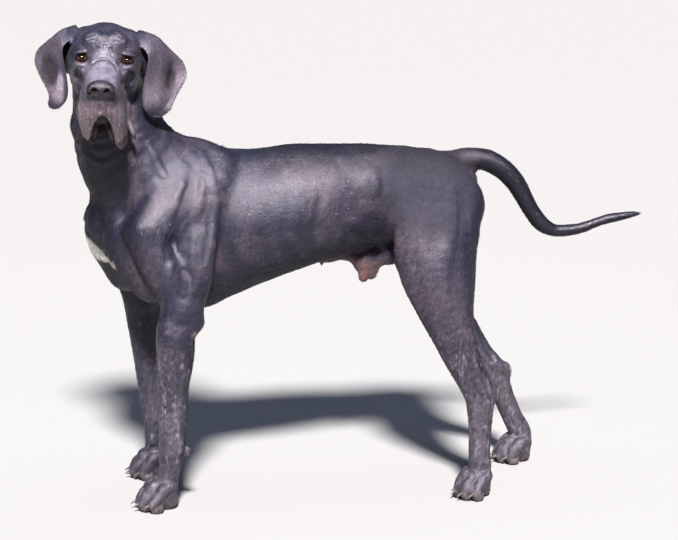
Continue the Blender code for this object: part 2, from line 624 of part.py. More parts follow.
# hanging lips: from the corner of the mouth round to the middle, each as x then (y, z) at the top, the fullest place and the edge. They hang
# unevenly: the dog's left one outward, the right one inward.
LIPS = {1: [(-0.004, .041, -.060, .047, -.084, .047, -.110), (0.034, .040, -.052, .0465, -.096, .0500, -.142), (0.070, .037, -.048, .0470, -.104, .0530, -.158),
            (0.100, .033, -.048, .0455, -.108, .0440, -.163), (0.118, .029, -.050, .0400, -.096, .0360, -.140), (0.134, .022, -.052, .0310, -.082, .0260, -.100),
            (0.146, .012, -.053, .0190, -.068, .0130, -.078), (0.152, .003, -.050, .0060, -.060, .0035, -.072)],
        -1: [(-0.004, .041, -.060, .046, -.082, .045, -.106), (0.034, .040, -.052, .0450, -.092, .0445, -.132), (0.070, .037, -.048, .0435, -.102, .0340, -.152),
             (0.100, .033, -.048, .0410, -.104, .0170, -.161), (0.118, .029, -.050, .0370, -.096, .0215, -.140), (0.134, .022, -.052, .0290, -.084, .0165, -.106),
             (0.146, .012, -.053, .0160, -.070, .0075, -.084), (0.152, .003, -.050, .0050, -.060, .0030, -.073)]}
LIP_THICK = 0.0060


def lip_part(side):
    R = smooth_rows(LIPS[side], 3)
    v = np.linspace(0, 1, 8)
    G = np.empty((len(R), len(v), 3))
    for i, (x, y0, z0, y1, z1, y2, z2) in enumerate(R):
        a, b, c = (1 - v) * (1 - 2 * v), 4 * v * (1 - v), v * (2 * v - 1)
        G[i, :, 0] = x
        G[i, :, 1] = side * (a * y0 + b * y1 + c * y2)
        G[i, :, 2] = a * z0 + b * z1 + c * z2
    t = np.repeat((LIP_THICK * (1.05 - 0.28 * v ** 2))[None], len(R), 0)
    fn, lo, hi = sheet_fn(G, t)
    put(fn, lo, hi, 0.010, 1, None, H)


for s in (-1, 1):
    lip_part(s)
hb((0.132, 0, -0.058), (0.020, 0.020, 0.020), k=0.010)
# fold at the corner of the mouth, standing out on the left
hb((0.022, 0.063, -0.147), (0.017, 0.0065, 0.029), axes_from((1, 0.15, -0.1), (0, -0.42, 1)), k=0.006)
hb((0.012, 0.054, -0.112), (0.018, 0.010, 0.022), k=0.010)
hb((0.012, -0.050, -0.116), (0.016, 0.007, 0.024), axes_from((1, 0, -0.1)), k=0.008)
# lower lip, hanging inside the upper one on each side of the chin
hlimb([(0.112, -0.008, -.100, .006, .006, .006), (0.104, -0.0115, -.118, .008, .008, .008), (0.092, -0.0150, -.140, .009, .009, .009), (0.078, -0.0165, -.155, .007, .007, .007)], (1, 0, 0), k=0.005)
hlimb([(0.112, 0.012, -.100, .006, .006, .006), (0.104, 0.0190, -.118, .008, .008, .008), (0.092, 0.0270, -.140, .0095, .009, .009), (0.078, 0.0310, -.157, .008, .008, .008)], (1, 0, 0), k=0.005)
hb((0.052, 0.004, -0.120), (0.030, 0.032, 0.038), k=0.008)                               # inside of the mouth
# lower jaw
hlimb([(-0.060, 0, -0.085, 0.050, 0.03, 0.026), (0.000, 0, -0.088, 0.036, 0.022, 0.024), (0.060, 0, -0.091, 0.027, 0.018, 0.020),
       (0.108, 0, -0.093, 0.021, 0.014, 0.018)], (0, 0, 1), k=0.010)
# nose
hb((0.140, 0, -0.020), (0.019, 0.029, 0.0175), k=0.004)
hb((0.148, 0, -0.026), (0.011, 0.027, 0.0160), k=0.006)
hb((0.146, 0.0180, -0.026), (0.013, 0.0135, 0.0145), k=0.005, mirror=True)
hb((0.150, 0, -0.038), (0.0075, 0.0095, 0.013), k=0.005)
hb((0.143, 0, -0.036), (0.014, 0.0215, 0.0135), k=0.006)
hb((0.163, 0.0142, -0.0235), (0.012, 0.0066, 0.0072), axes_from((1, 0.25, 0.05)), k=0.002, op=-1, mirror=True)
hb((0.157, 0.0235, -0.0290), (0.014, 0.0075, 0.0020), axes_from((1, 0.35, 0), (0, 0.45, 1)), k=0.0015, op=-1, mirror=True)
# eye sockets and lids: the opening is highest near the inner side and runs out to a low outer corner
EYE_Z = -0.0040
LID_TOP = [(-.0108, -.0062), (-.0080, .0002), (-.0050, .0048), (-.0010, .0074), (.0035, .0066), (.0075, .0032), (.0110, -.0016), (.0136, -.0060)]
LID_LOW = [(-.0108, -.0064), (-.0080, -.0086), (-.0035, -.0097), (.0015, -.0095), (.0065, -.0084), (.0110, -.0071), (.0136, -.0061)]


def lid_opening(s):
    up, lo_ = smooth_rows(LID_TOP, 4), smooth_rows(LID_LOW, 4)

    def fn(P):
        u = s * P[..., 1] - 0.048
        w = P[..., 2] - FACE_SLOPE * P[..., 0]
        d = np.maximum(w - np.interp(u, up[:, 0], up[:, 1]), np.interp(u, lo_[:, 0], lo_[:, 1]) - w) * 0.85
        d = np.maximum(d, np.abs(u - 0.0014) - 0.0120)
        return np.maximum(d, -(P[..., 0] + 0.014))

    put(fn, (-0.014, min(s * 0.036, s * 0.063), -0.016), (0.016, max(s * 0.036, s * 0.063), 0.014), 0.0018, -1, None, H)


FACE_SLOPE = 0.308     # the face is seen and drawn from this much above straight ahead
for s in (-1, 1):
    hb((-0.0105, s * 0.048, EYE_Z), (0.0152, 0.0165, 0.0155), k=0.0050)
    hb((-0.0060, s * 0.0495, 0.0108), (0.0140, 0.0165, 0.0048), axes_from((1, s * 0.35, 0.05), (0, s * 0.22, 1)), k=0.0045)
    lid_opening(s)


def add_head():
    for lo, hi, k, op, fn, warp in H:
        c = np.array([[x, y, z] for x in (lo[0], hi[0]) for y in (lo[1], hi[1]) for z in (lo[2], hi[2])])
        w = from_head(c)
        PARTS.append((w.min(0), w.max(0), k, op, (lambda f: lambda P: f(to_head(P)))(fn), None))


NECK_COUNT = len(PARTS)
add_head()
EYES = {"right": vec(-0.0105, -0.048, EYE_Z), "left": vec(-0.0105, 0.048, EYE_Z)}

# ------------------------------------------------------------------ ears
EARS = {
    "left": dict(side=1, rows=[
        [(-.050, .064, .028), (-.062, .070, .033), (-.085, .073, .037), (-.106, .069, .031), (-.122, .063, .014)],
        [(-.032, .092, .006), (-.052, .103, .019), (-.080, .112, .025), (-.106, .110, .018), (-.124, .101, .002)],
        [(-.026, .092, -.024), (-.040, .108, -.016), (-.058, .126, -.010), (-.092, .142, -.010), (-.112, .158, -.022)],
        [(-.026, .084, -.068), (-.034, .104, -.066), (-.048, .125, -.062), (-.086, .143, -.056), (-.096, .177, -.056)],
        [(-.029, .083, -.100), (-.035, .100, -.102), (-.044, .121, -.100), (-.068, .143, -.094), (-.076, .162, -.090)],
        [(-.034, .089, -.122), (-.038, .102, -.127), (-.042, .117, -.127), (-.048, .134, -.122), (-.051, .148, -.118)],
        [(-.037, .099, -.136), (-.039, .107, -.1405), (-.041, .117, -.142), (-.044, .131, -.138), (-.046, .143, -.129)]]),
    "right": dict(side=-1, rows=[
        [(-.050, .062, .031), (-.062, .068, .036), (-.085, .071, .040), (-.106, .068, .033), (-.122, .062, .015)],
        [(-.030, .090, .014), (-.050, .097, .022), (-.080, .102, .026), (-.106, .100, .020), (-.124, .094, .004)],
        [(-.024, .089, -.018), (-.038, .102, -.010), (-.060, .116, -.004), (-.094, .130, -.006), (-.112, .142, -.016)],
        [(-.022, .080, -.055), (-.030, .093, -.052), (-.046, .107, -.046), (-.082, .131, -.042), (-.098, .154, -.044)],
        [(-.021, .077, -.086), (-.026, .089, -.088), (-.036, .103, -.085), (-.060, .122, -.078), (-.076, .140, -.074)],
        [(-.027, .081, -.110), (-.031, .092, -.114), (-.036, .104, -.113), (-.046, .115, -.107), (-.052, .121, -.101)],
        [(-.034, .092, -.127), (-.037, .100, -.132), (-.040, .110, -.134), (-.043, .118, -.131), (-.045, .123, -.123)]])}


def ear_grid(name, m=25, n=17):
    e = EARS[name]
    R = np.array(e["rows"], float)
    R[..., 1] *= e["side"]
    # even rows and columns by smooth interpolation
    A = np.array([smooth_rows(R[:, j], 8) for j in range(R.shape[1])])          # columns -> (5, M, 3)
    A = A.transpose(1, 0, 2)
    B = np.array([smooth_rows(r, 8) for r in A])                                # (M, N, 3)
    i = np.linspace(0, B.shape[0] - 1, m).round().astype(int)
    j = np.linspace(0, B.shape[1] - 1, n).round().astype(int)
    return B[i][:, j]


EAR_THICK = 0.0034


def ear_part(name):
    G = ear_grid(name)
    m, n = G.shape[:2]
    u = np.linspace(0, 1, m)[:, None]
    v = np.linspace(-1, 1, n)[None]
    t = EAR_THICK * (1.5 - 0.9 * u ** 0.7) * (1 - 0.35 * v ** 4)
    fn, lo, hi = sheet_fn(from_head(G.reshape(-1, 3)).reshape(G.shape), t)
    put(fn, lo, hi, 0.006, 1)


BODY = list(PARTS)
for n_ in EARS:
    ear_part(n_)

# sheath and the lobe behind it, hanging below the belly
limb([(0.648, 0, 0.553, 0.008, 0.010, 0.012), (0.680, 0, 0.549, 0.012, 0.014, 0.012), (0.712, 0, 0.556, 0.0145, 0.016, 0.014),
      (0.745, -0.002, 0.548, 0.0155, 0.016, 0.016), (0.764, -0.004, 0.522, 0.0150, 0.016, 0.016), (0.764, -0.004, 0.504, 0.0140, 0.014, 0.014)], fore=(0, 0, 1), k=0.009, into=BODY)
ball((0.776, 0.003, 0.548), (0.040, 0.022, 0.038), k=0.012, into=BODY)
ball((0.782, 0.010, 0.520), (0.022, 0.017, 0.026), k=0.010, into=BODY)
ball((0.825, 0, 0.562), (0.030, 0.020, 0.034), k=0.014, into=BODY)
ball((0.666, 0, 0.539), (0.006, 0.004, 0.009), k=0.006, into=BODY)
PARTS.extend(BODY[-5:])

BODY_PARTS = BODY


# ------------------------------------------------------------------ meshes
def mesh_of(points, faces, name):
    me = bpy.data.meshes.new(name)
    me.from_pydata([tuple(p) for p in points.tolist()], [], [tuple(q) for q in faces.tolist()])
    me.update()
    return me


def add(name, me):
    ob = bpy.data.objects.new(name, me)
    bpy.context.scene.collection.objects.link(ob)
    return ob


def evaluated(ob):
    """The object's mesh with its modifiers."""
    dg = bpy.context.evaluated_depsgraph_get()
    dg.update()
    return bpy.data.meshes.new_from_object(ob.evaluated_get(dg), preserve_all_data_layers=False, depsgraph=dg)


def drop(ob):
    bpy.data.objects.remove(ob)


def reduced(me, triangles, name):
    """The same form with about so many triangles."""
    ob = add(name, me)
    m = ob.modifiers.new("reduce", 'DECIMATE')
    m.decimate_type = 'COLLAPSE'
    m.ratio = min(1.0, triangles / (2.0 * len(me.polygons)))
    out = evaluated(ob)
    drop(ob)
    bm = bmesh.new()
    bm.from_mesh(out)
    bmesh.ops.triangulate(bm, faces=bm.faces)
    bmesh.ops.dissolve_degenerate(bm, dist=0.0002, edges=bm.edges)
    bmesh.ops.triangulate(bm, faces=bm.faces)
    bm.to_mesh(out)
    bm.free()
    return out


def whole_form(parts, lo, hi, h, plane, keep):
    """A closed surface of the body on one side of a plane through the neck."""
    lo, hi = np.array(lo), np.array(hi)
    D = field_grid(parts, lo, hi, h)
    c, n = plane
    X = [lo[i] + h * np.arange(D.shape[i]) for i in range(3)]
    S = (X[0][:, None, None] - c[0]) * n[0] + (X[1][None, :, None] - c[1]) * n[1] + (X[2][None, None, :] - c[2]) * n[2]
    D = np.maximum(D, keep * S - 2 * h).astype(np.float32)
    P, Q = nets(D, lo, h)
    free = keep * ((P - c) @ n) < h
    P[free] = settle(P[free], parts, 0.0, 2, 0.4 * h)
    return P, Q


def box_between(name, c, n, along, half, far, keep):
    """A box with its face on the plane, reaching away on the side of keep * n."""
    A = axes_from(n, along)
    bm = bmesh.new()
    bmesh.ops.create_cube(bm, size=1.0)
    for v in bm.verts:
        q = np.array(v.co)
        p = np.array(c) + A[0] * keep * (q[0] + 0.5) * far + A[1] * q[1] * 2 * half[0] + A[2] * q[2] * 2 * half[1]
        v.co = p
    bm.normal_update()
    bmesh.ops.recalc_face_normals(bm, faces=bm.faces)
    me = bpy.data.meshes.new(name)
    bm.to_mesh(me)
    bm.free()
    return add(name, me)


def slab(name, c, n, half, up=(0, 0, 1), gap=None):
    """A thin plate through c, square to n."""
    gap = GAP if gap is None else gap
    A = axes_from(n, up)
    bm = bmesh.new()
    bmesh.ops.create_cube(bm, size=1.0)
    for v in bm.verts:
        q = np.array(v.co)
        v.co = np.array(c) + A[0] * q[0] * gap + A[1] * q[1] * 2 * half[0] + A[2] * q[2] * 2 * half[1]
    bm.normal_update()
    bmesh.ops.recalc_face_normals(bm, faces=bm.faces)
    me = bpy.data.meshes.new(name)
    bm.to_mesh(me)
    bm.free()
    return add(name, me)


def ball_mesh(name, c, r, turn_to=None):
    bm = bmesh.new()
    bmesh.ops.create_uvsphere(bm, u_segments=16, v_segments=10, radius=r)
    A = axes_from(turn_to if turn_to is not None else (1, 0, 0))
    for v in bm.verts:
        q = np.array(v.co)
        v.co = np.array(c) + A[0] * q[2] + A[1] * q[0] + A[2] * q[1]
    bm.normal_update()
    bmesh.ops.recalc_face_normals(bm, faces=bm.faces)
    me = bpy.data.meshes.new(name)
    bm.to_mesh(me)
    bm.free()
    return me


def claw_mesh(name, tip, f, size, more=0.0, sides=7):
    """A short curved claw: rings along an arc that drops towards its tip."""
    rings = 4
    long, r0, drop_ = CLAW_LONG * size, CLAW_R * size + more, CLAW_DROP * size
    f = unit(f)
    side = np.cross((0, 0, 1), f)
    pts, faces = [], []
    for i in range(rings):
        t = i / (rings - 1)
        a = t - 0.5
        p = np.array(tip) + f * (long * a + more * (1 if i == rings - 1 else -1 if i == 0 else 0)) + np.array((0, 0, 1)) * (-drop_ * t * t + drop_ * 0.25)
        r = r0 * (1 - 0.80 * t ** 1.6) if not more else CLAW_R * size * (1 - 0.80 * t ** 1.6) + more
        for j in range(sides):
            w = 2 * math.pi * j / sides
            q = p + side * math.cos(w) * r * 0.80 + np.array((0, 0, 1)) * math.sin(w) * r * 1.1
            pts.append(q)
    for i in range(rings - 1):
        for j in range(sides):
            k = (j + 1) % sides
            faces.append((i * sides + j, i * sides + k, (i + 1) * sides + k, (i + 1) * sides + j))
    faces.append(tuple(range(sides))[::-1])
    faces.append(tuple((rings - 1) * sides + j for j in range(sides)))
    me = bpy.data.meshes.new(name)
    me.from_pydata([tuple(p) for p in pts], [], faces)
    bm = bmesh.new()
    bm.from_mesh(me)
    bm.normal_update()
    bmesh.ops.recalc_face_normals(bm, faces=bm.faces)
    bm.to_mesh(me)
    bm.free()
    return me


def ear_mesh(name, more=0.0, m=10, n=7):
    """An ear as a closed leaf: two faces and a rounded rim."""
    G = ear_grid(name, m, n)
    G = from_head(G.reshape(-1, 3)).reshape(G.shape)
    if more:
        for a, b in ((0, 1), (-1, -2)):
            e = G[a] - G[b]
            G[a] = G[a] + more * 1.6 * e / np.linalg.norm(e, axis=1, keepdims=True)
            e = G[:, a] - G[:, b]
            G[:, a] = G[:, a] + more * 1.6 * e / np.linalg.norm(e, axis=1, keepdims=True)
    du = np.gradient(G, axis=0)
    dv = np.gradient(G, axis=1)
    N = np.cross(du, dv)
    N /= np.linalg.norm(N, axis=2, keepdims=True)
    u = np.linspace(0, 1, m)[:, None]
    v = np.linspace(-1, 1, n)[None]
    t = EAR_THICK * (1.45 - 0.6 * u ** 0.7) * (1 - 0.30 * v ** 4) + more
    t = np.repeat(t, n, 1) if t.shape[1] == 1 else t
    pts = np.concatenate([(G + N * t[..., None]).reshape(-1, 3), (G - N * t[..., None]).reshape(-1, 3)])
    K = m * n
    faces = []
    for i in range(m - 1):
        for j in range(n - 1):
            a = i * n + j
            faces.append((a, a + 1, a + n + 1, a + n))
            faces.append((K + a, K + a + n, K + a + n + 1, K + a + 1))
    rim = [j for j in range(n)] + [i * n + n - 1 for i in range(1, m)] + [(m - 1) * n + j for j in range(n - 2, -1, -1)] + [i * n for i in range(m - 2, 0, -1)]
    for a, b in zip(rim, rim[1:] + rim[:1]):
        faces.append((a, K + a, K + b, b))
    me = bpy.data.meshes.new("ear")
    me.from_pydata([tuple(p) for p in pts], [], faces)
    bm = bmesh.new()
    bm.from_mesh(me)
    bmesh.ops.triangulate(bm, faces=bm.faces)
    bm.normal_update()
    bmesh.ops.recalc_face_normals(bm, faces=bm.faces)
    bm.to_mesh(me)
    bm.free()
    return me


def cut(me, cutters, name):
    """The mesh less the cutters."""
    ob = add(name, me)
    for c in cutters:
        c.hide_render = True
        c.display_type = 'WIRE'
        m = ob.modifiers.new("cut", 'BOOLEAN')
        m.operation = 'DIFFERENCE'
        m.solver = 'EXACT'
        m.object = c
    out = evaluated(ob)
    drop(ob)
    return out


def islands(me):
    bm = bmesh.new()
    bm.from_mesh(me)
    bmesh.ops.remove_doubles(bm, verts=bm.verts, dist=1e-6)
    bmesh.ops.triangulate(bm, faces=bm.faces)
    bm.verts.ensure_lookup_table()
    seen = set()
    out = []
    for v in bm.verts:
        if v.index in seen:
            continue
        todo, group = [v], []
        seen.add(v.index)
        while todo:
            a = todo.pop()
            group.append(a)
            for e in a.link_edges:
                b = e.other_vert(a)
                if b.index not in seen:
                    seen.add(b.index)
                    todo.append(b)
        idx = {a.index: i for i, a in enumerate(group)}
        faces = {f for a in group for f in a.link_faces}
        pts = np.array([a.co for a in group])
        fs = [tuple(idx[w.index] for w in f.verts) for f in sorted(faces, key=lambda f: f.index)]
        out.append((pts, fs))
    bm.free()
    return out


# ------------------------------------------------------------------ materials
def material(name, colour, rough, metal=0.0):
    m = bpy.data.materials.new(name)
    m.use_nodes = True
    b = m.node_tree.nodes["Principled BSDF"]
    b.inputs["Base Color"].default_value = (*colour, 1)
    b.inputs["Roughness"].default_value = rough
    b.inputs["Metallic"].default_value = metal
    m.diffuse_color = (*colour, 1)
    return m


COAT_COLOUR, EAR_COLOUR, CLAW_COLOUR, EYE_COLOUR = (0.075, 0.072, 0.085), (0.10, 0.09, 0.10), (0.42, 0.42, 0.44), (0.055, 0.022, 0.010)


def finish(name, pts, faces, colour, rough, sharp=60.0):
    me = bpy.data.meshes.new(name)
    c = (pts.min(0) + pts.max(0)) / 2
    me.from_pydata([tuple(p) for p in (pts - c)], [], faces)
    me.update()
    me.shade_smooth()
    me.set_sharp_from_angle(angle=math.radians(sharp))
    me.materials.append(material(name, colour, rough))
    ob = add(name, me)
    ob.location = Vector(c) - Vector((ORIGIN[0], ORIGIN[1], 0.0))
    return ob


for ob in list(bpy.data.objects):
    bpy.data.objects.remove(ob)

# the body below the cut through the neck, and the head above it
P, Q = whole_form(BODY_PARTS, (-0.02, -0.24, -0.016), (1.46, 0.24, 1.10), BODY_STEP, (NECK_CUT, NECK_CUT_N), 1)
body = reduced(mesh_of(P, Q, "body"), BODY_TRIANGLES, "body")
P, Q = whole_form(BODY_PARTS, (0.03, -0.345, 0.80), (0.315, 0.075, 1.12), HEAD_STEP, (NECK_CUT, NECK_CUT_N), -1)
head = reduced(mesh_of(P, Q, "head"), HEAD_TRIANGLES, "head")

n = np.array(NECK_CUT_N)
above = box_between("above_neck", np.array(NECK_CUT) - n * GAP / 2, n, (1, 0, 0), (0.3, 0.3), 0.5, 1)
below = box_between("below_neck", np.array(NECK_CUT) + n * GAP / 2, n, (1, 0, 0), (0.3, 0.3), 0.5, -1)

floor = box_between("floor", (0.7, 0, 0), (0, 0, -1), (1, 0, 0), (0.4, 1.0), 0.1, 1)
cutters = [above, floor] + [slab("plate_%d" % i, c, d, half) for i, (c, d, half) in enumerate(PLATES)]
claws = {}
for name, tip, f, size in CLAWS:
    claws[name] = claw_mesh(name, tip, f, size)
    cutters.append(add("bed_" + name, claw_mesh("bed", tip, f, size, GAP)))
pieces = islands(cut(body, cutters, "body_cut"))
for c in cutters:
    drop(c)

cutters = [below]
eyes = {}
for side, e in EYES.items():
    eyes[side] = ball_mesh("eye", from_head(e), EYE_R, HEAD[0])
    cutters.append(add("socket_" + side, ball_mesh("socket", from_head(e), EYE_R + GAP, HEAD[0])))
ears = {}
for side in EARS:
    ears[side] = ear_mesh(side)
    cutters.append(add("root_" + side, ear_mesh(side, GAP)))
head_pieces = islands(cut(head, cutters, "head_cut"))
for c in cutters:
    drop(c)

total = 0
used = {}
for pts, faces in pieces + head_pieces:
    if len(pts) < 12:
        continue
    c = (pts.min(0) + pts.max(0)) / 2
    name = min(NAMES, key=lambda k: np.linalg.norm(np.array(NAMES[k]) - c))
    if name in used and len(used[name][0]) > len(pts):
        continue
    used[name] = (pts, faces)
for name, (pts, faces) in used.items():
    finish(name, pts, faces, COAT_COLOUR, 0.42)
    total += len(faces)
for side, me in eyes.items():
    pts = np.array([v.co for v in me.vertices])
    ob = finish("eye_" + side, pts, [tuple(p.vertices) for p in me.polygons], EYE_COLOUR, 0.08)
    total += sum(len(p.vertices) - 2 for p in me.polygons)
for side, me in ears.items():
    pts = np.array([v.co for v in me.vertices])
    finish("ear_" + side, pts, [tuple(p.vertices) for p in me.polygons], EAR_COLOUR, 0.45)
    total += len(me.polygons)
for name, me in claws.items():
    pts = np.array([v.co for v in me.vertices])
    finish("claw_" + name, pts, [tuple(p.vertices) for p in me.polygons], CLAW_COLOUR, 0.35)
    total += sum(len(p.vertices) - 2 for p in me.polygons)
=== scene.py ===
"""A great dane as a still life-size figure: one skin of short glossy blue-black coat over the solids, fine tufts along it, eyes and claws."""
import json
import math
import bpy
import bmesh
import numpy as np
from mathutils import Vector, Matrix
from mathutils.bvhtree import BVHTree

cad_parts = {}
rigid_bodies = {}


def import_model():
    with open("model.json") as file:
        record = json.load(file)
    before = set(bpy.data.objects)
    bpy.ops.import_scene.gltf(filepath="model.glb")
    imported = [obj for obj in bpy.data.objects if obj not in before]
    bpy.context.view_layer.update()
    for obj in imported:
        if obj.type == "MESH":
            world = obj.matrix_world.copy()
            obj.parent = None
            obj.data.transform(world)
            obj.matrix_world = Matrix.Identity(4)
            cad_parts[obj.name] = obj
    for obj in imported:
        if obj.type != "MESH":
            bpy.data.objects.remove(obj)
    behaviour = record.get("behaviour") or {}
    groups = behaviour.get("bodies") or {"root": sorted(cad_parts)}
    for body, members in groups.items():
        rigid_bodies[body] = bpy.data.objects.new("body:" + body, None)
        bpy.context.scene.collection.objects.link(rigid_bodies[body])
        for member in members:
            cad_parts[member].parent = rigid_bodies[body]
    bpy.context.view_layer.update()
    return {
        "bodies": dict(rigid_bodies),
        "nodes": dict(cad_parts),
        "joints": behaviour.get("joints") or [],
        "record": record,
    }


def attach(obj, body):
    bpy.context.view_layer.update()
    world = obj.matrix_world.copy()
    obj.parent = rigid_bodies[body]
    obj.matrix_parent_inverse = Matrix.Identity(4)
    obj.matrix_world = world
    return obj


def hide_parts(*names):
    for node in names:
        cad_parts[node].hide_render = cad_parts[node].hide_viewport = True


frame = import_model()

ORIGIN = (0.72886, -0.05734)        # the middle of the model in the frame it is drawn in
EYE_R = 0.0125
NECK_CUT, NECK_CUT_N = (0.175, -0.045, 0.985), (0.0, -0.763, 0.646)
CLAW_LONG, CLAW_R, CLAW_DROP = 0.021, 0.0044, 0.007



FAR = 0.09
PARTS = []          # the solid forms, in order
MARKS = []          # folds, veins and creases laid on the surface


def vec(*a):
    return np.array(a if len(a) > 1 else a[0], float)


def unit(v):
    v = np.asarray(v, float)
    return v / max(np.linalg.norm(v), 1e-12)


def smin(a, b, k):
    h = np.maximum(k - np.abs(a - b), 0.0)
    return np.minimum(a, b) - h * h * (0.25 / k)


def step(x, a, b):
    t = np.clip((x - a) / (b - a), 0.0, 1.0)
    return t * t * (3 - 2 * t)


def smooth_rows(rows, per=4):
    """Catmull-Rom through the rows of a table."""
    rows = np.array(rows, float)
    n = len(rows)
    out = []
    for i in range(n - 1):
        p0, p1, p2, p3 = rows[max(i - 1, 0)], rows[i], rows[i + 1], rows[min(i + 2, n - 1)]
        for j in range(per):
            t = j / per
            out.append(0.5 * (2 * p1 + (p2 - p0) * t + (2 * p0 - 5 * p1 + 4 * p2 - p3) * t * t + (3 * p1 - p0 - 3 * p2 + p3) * t ** 3))
    out.append(rows[-1])
    return np.array(out)


def put(fn, lo, hi, k=0.01, op=1, warp=None, into=None):
    (PARTS if into is None else into).append((np.array(lo, float), np.array(hi, float), k, op, fn, warp))


def limb_fn(rows, fore, per=3):
    """rows: x, y, z, side radius, fore radius, aft radius."""
    R = smooth_rows(rows, per)
    segs = []
    last = len(R) - 2
    for i, (a, b) in enumerate(zip(R[:-1], R[1:])):
        t = b[:3] - a[:3]
        L = np.linalg.norm(t)
        t = t / L
        f = np.asarray(fore, float)
        f = unit(f - f.dot(t) * t)
        s = np.cross(t, f)
        segs.append((a[:3], t, f, s, L, a[3:], b[3:], i == 0, i == last))

    def fn(P):
        d = None
        for a, t, f, s, L, ra, rb, first, end in segs:
            q = P - a
            w = q @ t
            c = np.clip(w / L, 0.0, 1.0)
            r = ra + c[..., None] * (rb - ra)
            w = w - c * L
            u = q @ s
            v = q @ f
            ru = r[..., 0]
            rv = np.where(v > 0, r[..., 1], r[..., 2])
            lo_r = np.minimum(ru, np.minimum(r[..., 1], r[..., 2]))
            hi_r = np.maximum(ru, rv)
            rw = np.where(w < 0, lo_r if first else hi_r, lo_r if end else hi_r)
            a0, a1, a2 = u / ru, v / rv, w / rw
            k0 = np.sqrt(a0 * a0 + a1 * a1 + a2 * a2) + 1e-9
            k1 = np.sqrt((a0 / ru) ** 2 + (a1 / rv) ** 2 + (a2 / rw) ** 2) + 1e-9
            e = k0 * (k0 - 1.0) / k1
            d = e if d is None else np.minimum(d, e)
        return d

    m = R[:, 3:].max(1)[:, None]
    return fn, (R[:, :3] - m).min(0), (R[:, :3] + m).max(0)


def limb(rows, fore=(-1, 0, 0), k=0.012, op=1, per=3, warp=None, mirror=False, into=None):
    fn, lo, hi = limb_fn(rows, fore, per)
    put(fn, lo, hi, k, op, warp, into)
    if mirror:
        rows = [[r[0], -r[1], *r[2:]] for r in rows]
        fore = (fore[0], -fore[1], fore[2])
        fn, lo, hi = limb_fn(rows, fore, per)
        put(fn, lo, hi, k, op, warp, into)


def axes_from(long, up=(0, 0, 1)):
    """Rows: the long axis, the side and the top."""
    a = unit(long)
    u = np.asarray(up, float)
    u = u - u.dot(a) * a
    if np.linalg.norm(u) < 1e-6:
        u = np.array([1.0, 0, 0]) - a[0] * a
    u = unit(u)
    return np.array([a, np.cross(u, a), u])


def ball_fn(c, r, A=None):
    c = np.asarray(c, float)
    r = np.asarray(r, float)
    A = np.eye(3) if A is None else np.asarray(A, float)

    def fn(P):
        q = (P - c) @ A.T
        a = q / r
        k0 = np.sqrt((a * a).sum(-1)) + 1e-9
        k1 = np.sqrt(((a / r) ** 2).sum(-1)) + 1e-9
        return k0 * (k0 - 1.0) / k1

    e = np.sqrt(((A * r[:, None]) ** 2).sum(0))
    return fn, c - e, c + e


def ball(c, r, A=None, k=0.012, op=1, warp=None, mirror=False, into=None):
    fn, lo, hi = ball_fn(c, r, A)
    put(fn, lo, hi, k, op, warp, into)
    if mirror:
        c = (c[0], -c[1], c[2])
        if A is not None:
            A = np.array(A, float) * np.array([1, -1, 1])
        fn, lo, hi = ball_fn(c, r, A)
        put(fn, lo, hi, k, op, warp, into)


def sheet_fn(grid, thick):
    """grid: (m, n, 3) points of the middle surface; thick: (m, n) half thickness."""
    m, n = grid.shape[:2]
    pts = grid.reshape(-1, 3)
    th = thick.reshape(-1)
    tris = []
    for i in range(m - 1):
        for j in range(n - 1):
            a = i * n + j
            tris.append((a, a + 1, a + n + 1))
            tris.append((a, a + n + 1, a + n))
    tree = BVHTree.FromPolygons([Vector(p) for p in pts], tris)
    tt = np.array([th[list(t)].mean() for t in tris])
    R = float(th.max())

    def fn(P):
        shape = P.shape[:-1]
        Q = P.reshape(-1, 3)
        out = np.full(len(Q), FAR)
        find = tree.find_nearest
        for i, q in enumerate(Q.tolist()):
            r = find(q, 0.045)
            if r[0] is not None:
                out[i] = r[3] - tt[r[2]]
        return out.reshape(shape)

    return fn, pts.min(0) - R, pts.max(0) + R


def evaluate(P, parts, far=FAR):
    """The field at points P (N, 3): negative inside."""
    d = np.full(len(P), far)
    for lo, hi, k, op, fn, warp in parts:
        m = k + 0.022
        on = np.nonzero(((P > lo - m) & (P < hi + m)).all(1))[0]
        if not len(on):
            continue
        Q = P[on]
        e = fn(warp(Q) if warp else Q)
        if op == 1:
            d[on] = smin(d[on], e, k)
        elif op == -1:
            d[on] = -smin(-d[on], e, k)
        else:
            d[on] -= e
    return d


def field_grid(parts, lo, hi, h):
    n = np.ceil((np.asarray(hi) - lo) / h).astype(int) + 1
    ax = [lo[i] + h * np.arange(n[i]) for i in range(3)]
    D = np.full(n, FAR, np.float32)
    for plo, phi, k, op, fn, warp in parts:
        m = k + 0.022
        s = [slice(max(int((plo[i] - m - lo[i]) / h), 0), min(int((phi[i] + m - lo[i]) / h) + 2, n[i])) for i in range(3)]
        if any(x.stop <= x.start for x in s):
            continue
        P = np.stack(np.meshgrid(*[ax[i][s[i]] for i in range(3)], indexing="ij"), -1)
        cur = D[s[0], s[1], s[2]]
        if op != 1:
            near = cur < 0.03
            if not near.any():
                continue
            Q = P[near]
            e = fn(warp(Q) if warp else Q)
            cur[near] = (-smin(-cur[near], e, k)) if op == -1 else cur[near] - e
        else:
            e = fn(warp(P) if warp else P)
            D[s[0], s[1], s[2]] = smin(cur, e, k)
    return D


CORNERS = [(i, j, k) for i in (0, 1) for j in (0, 1) for k in (0, 1)]
EDGES = [(a, b) for a in CORNERS for b in CORNERS if a < b and sum(x != y for x, y in zip(a, b)) == 1]


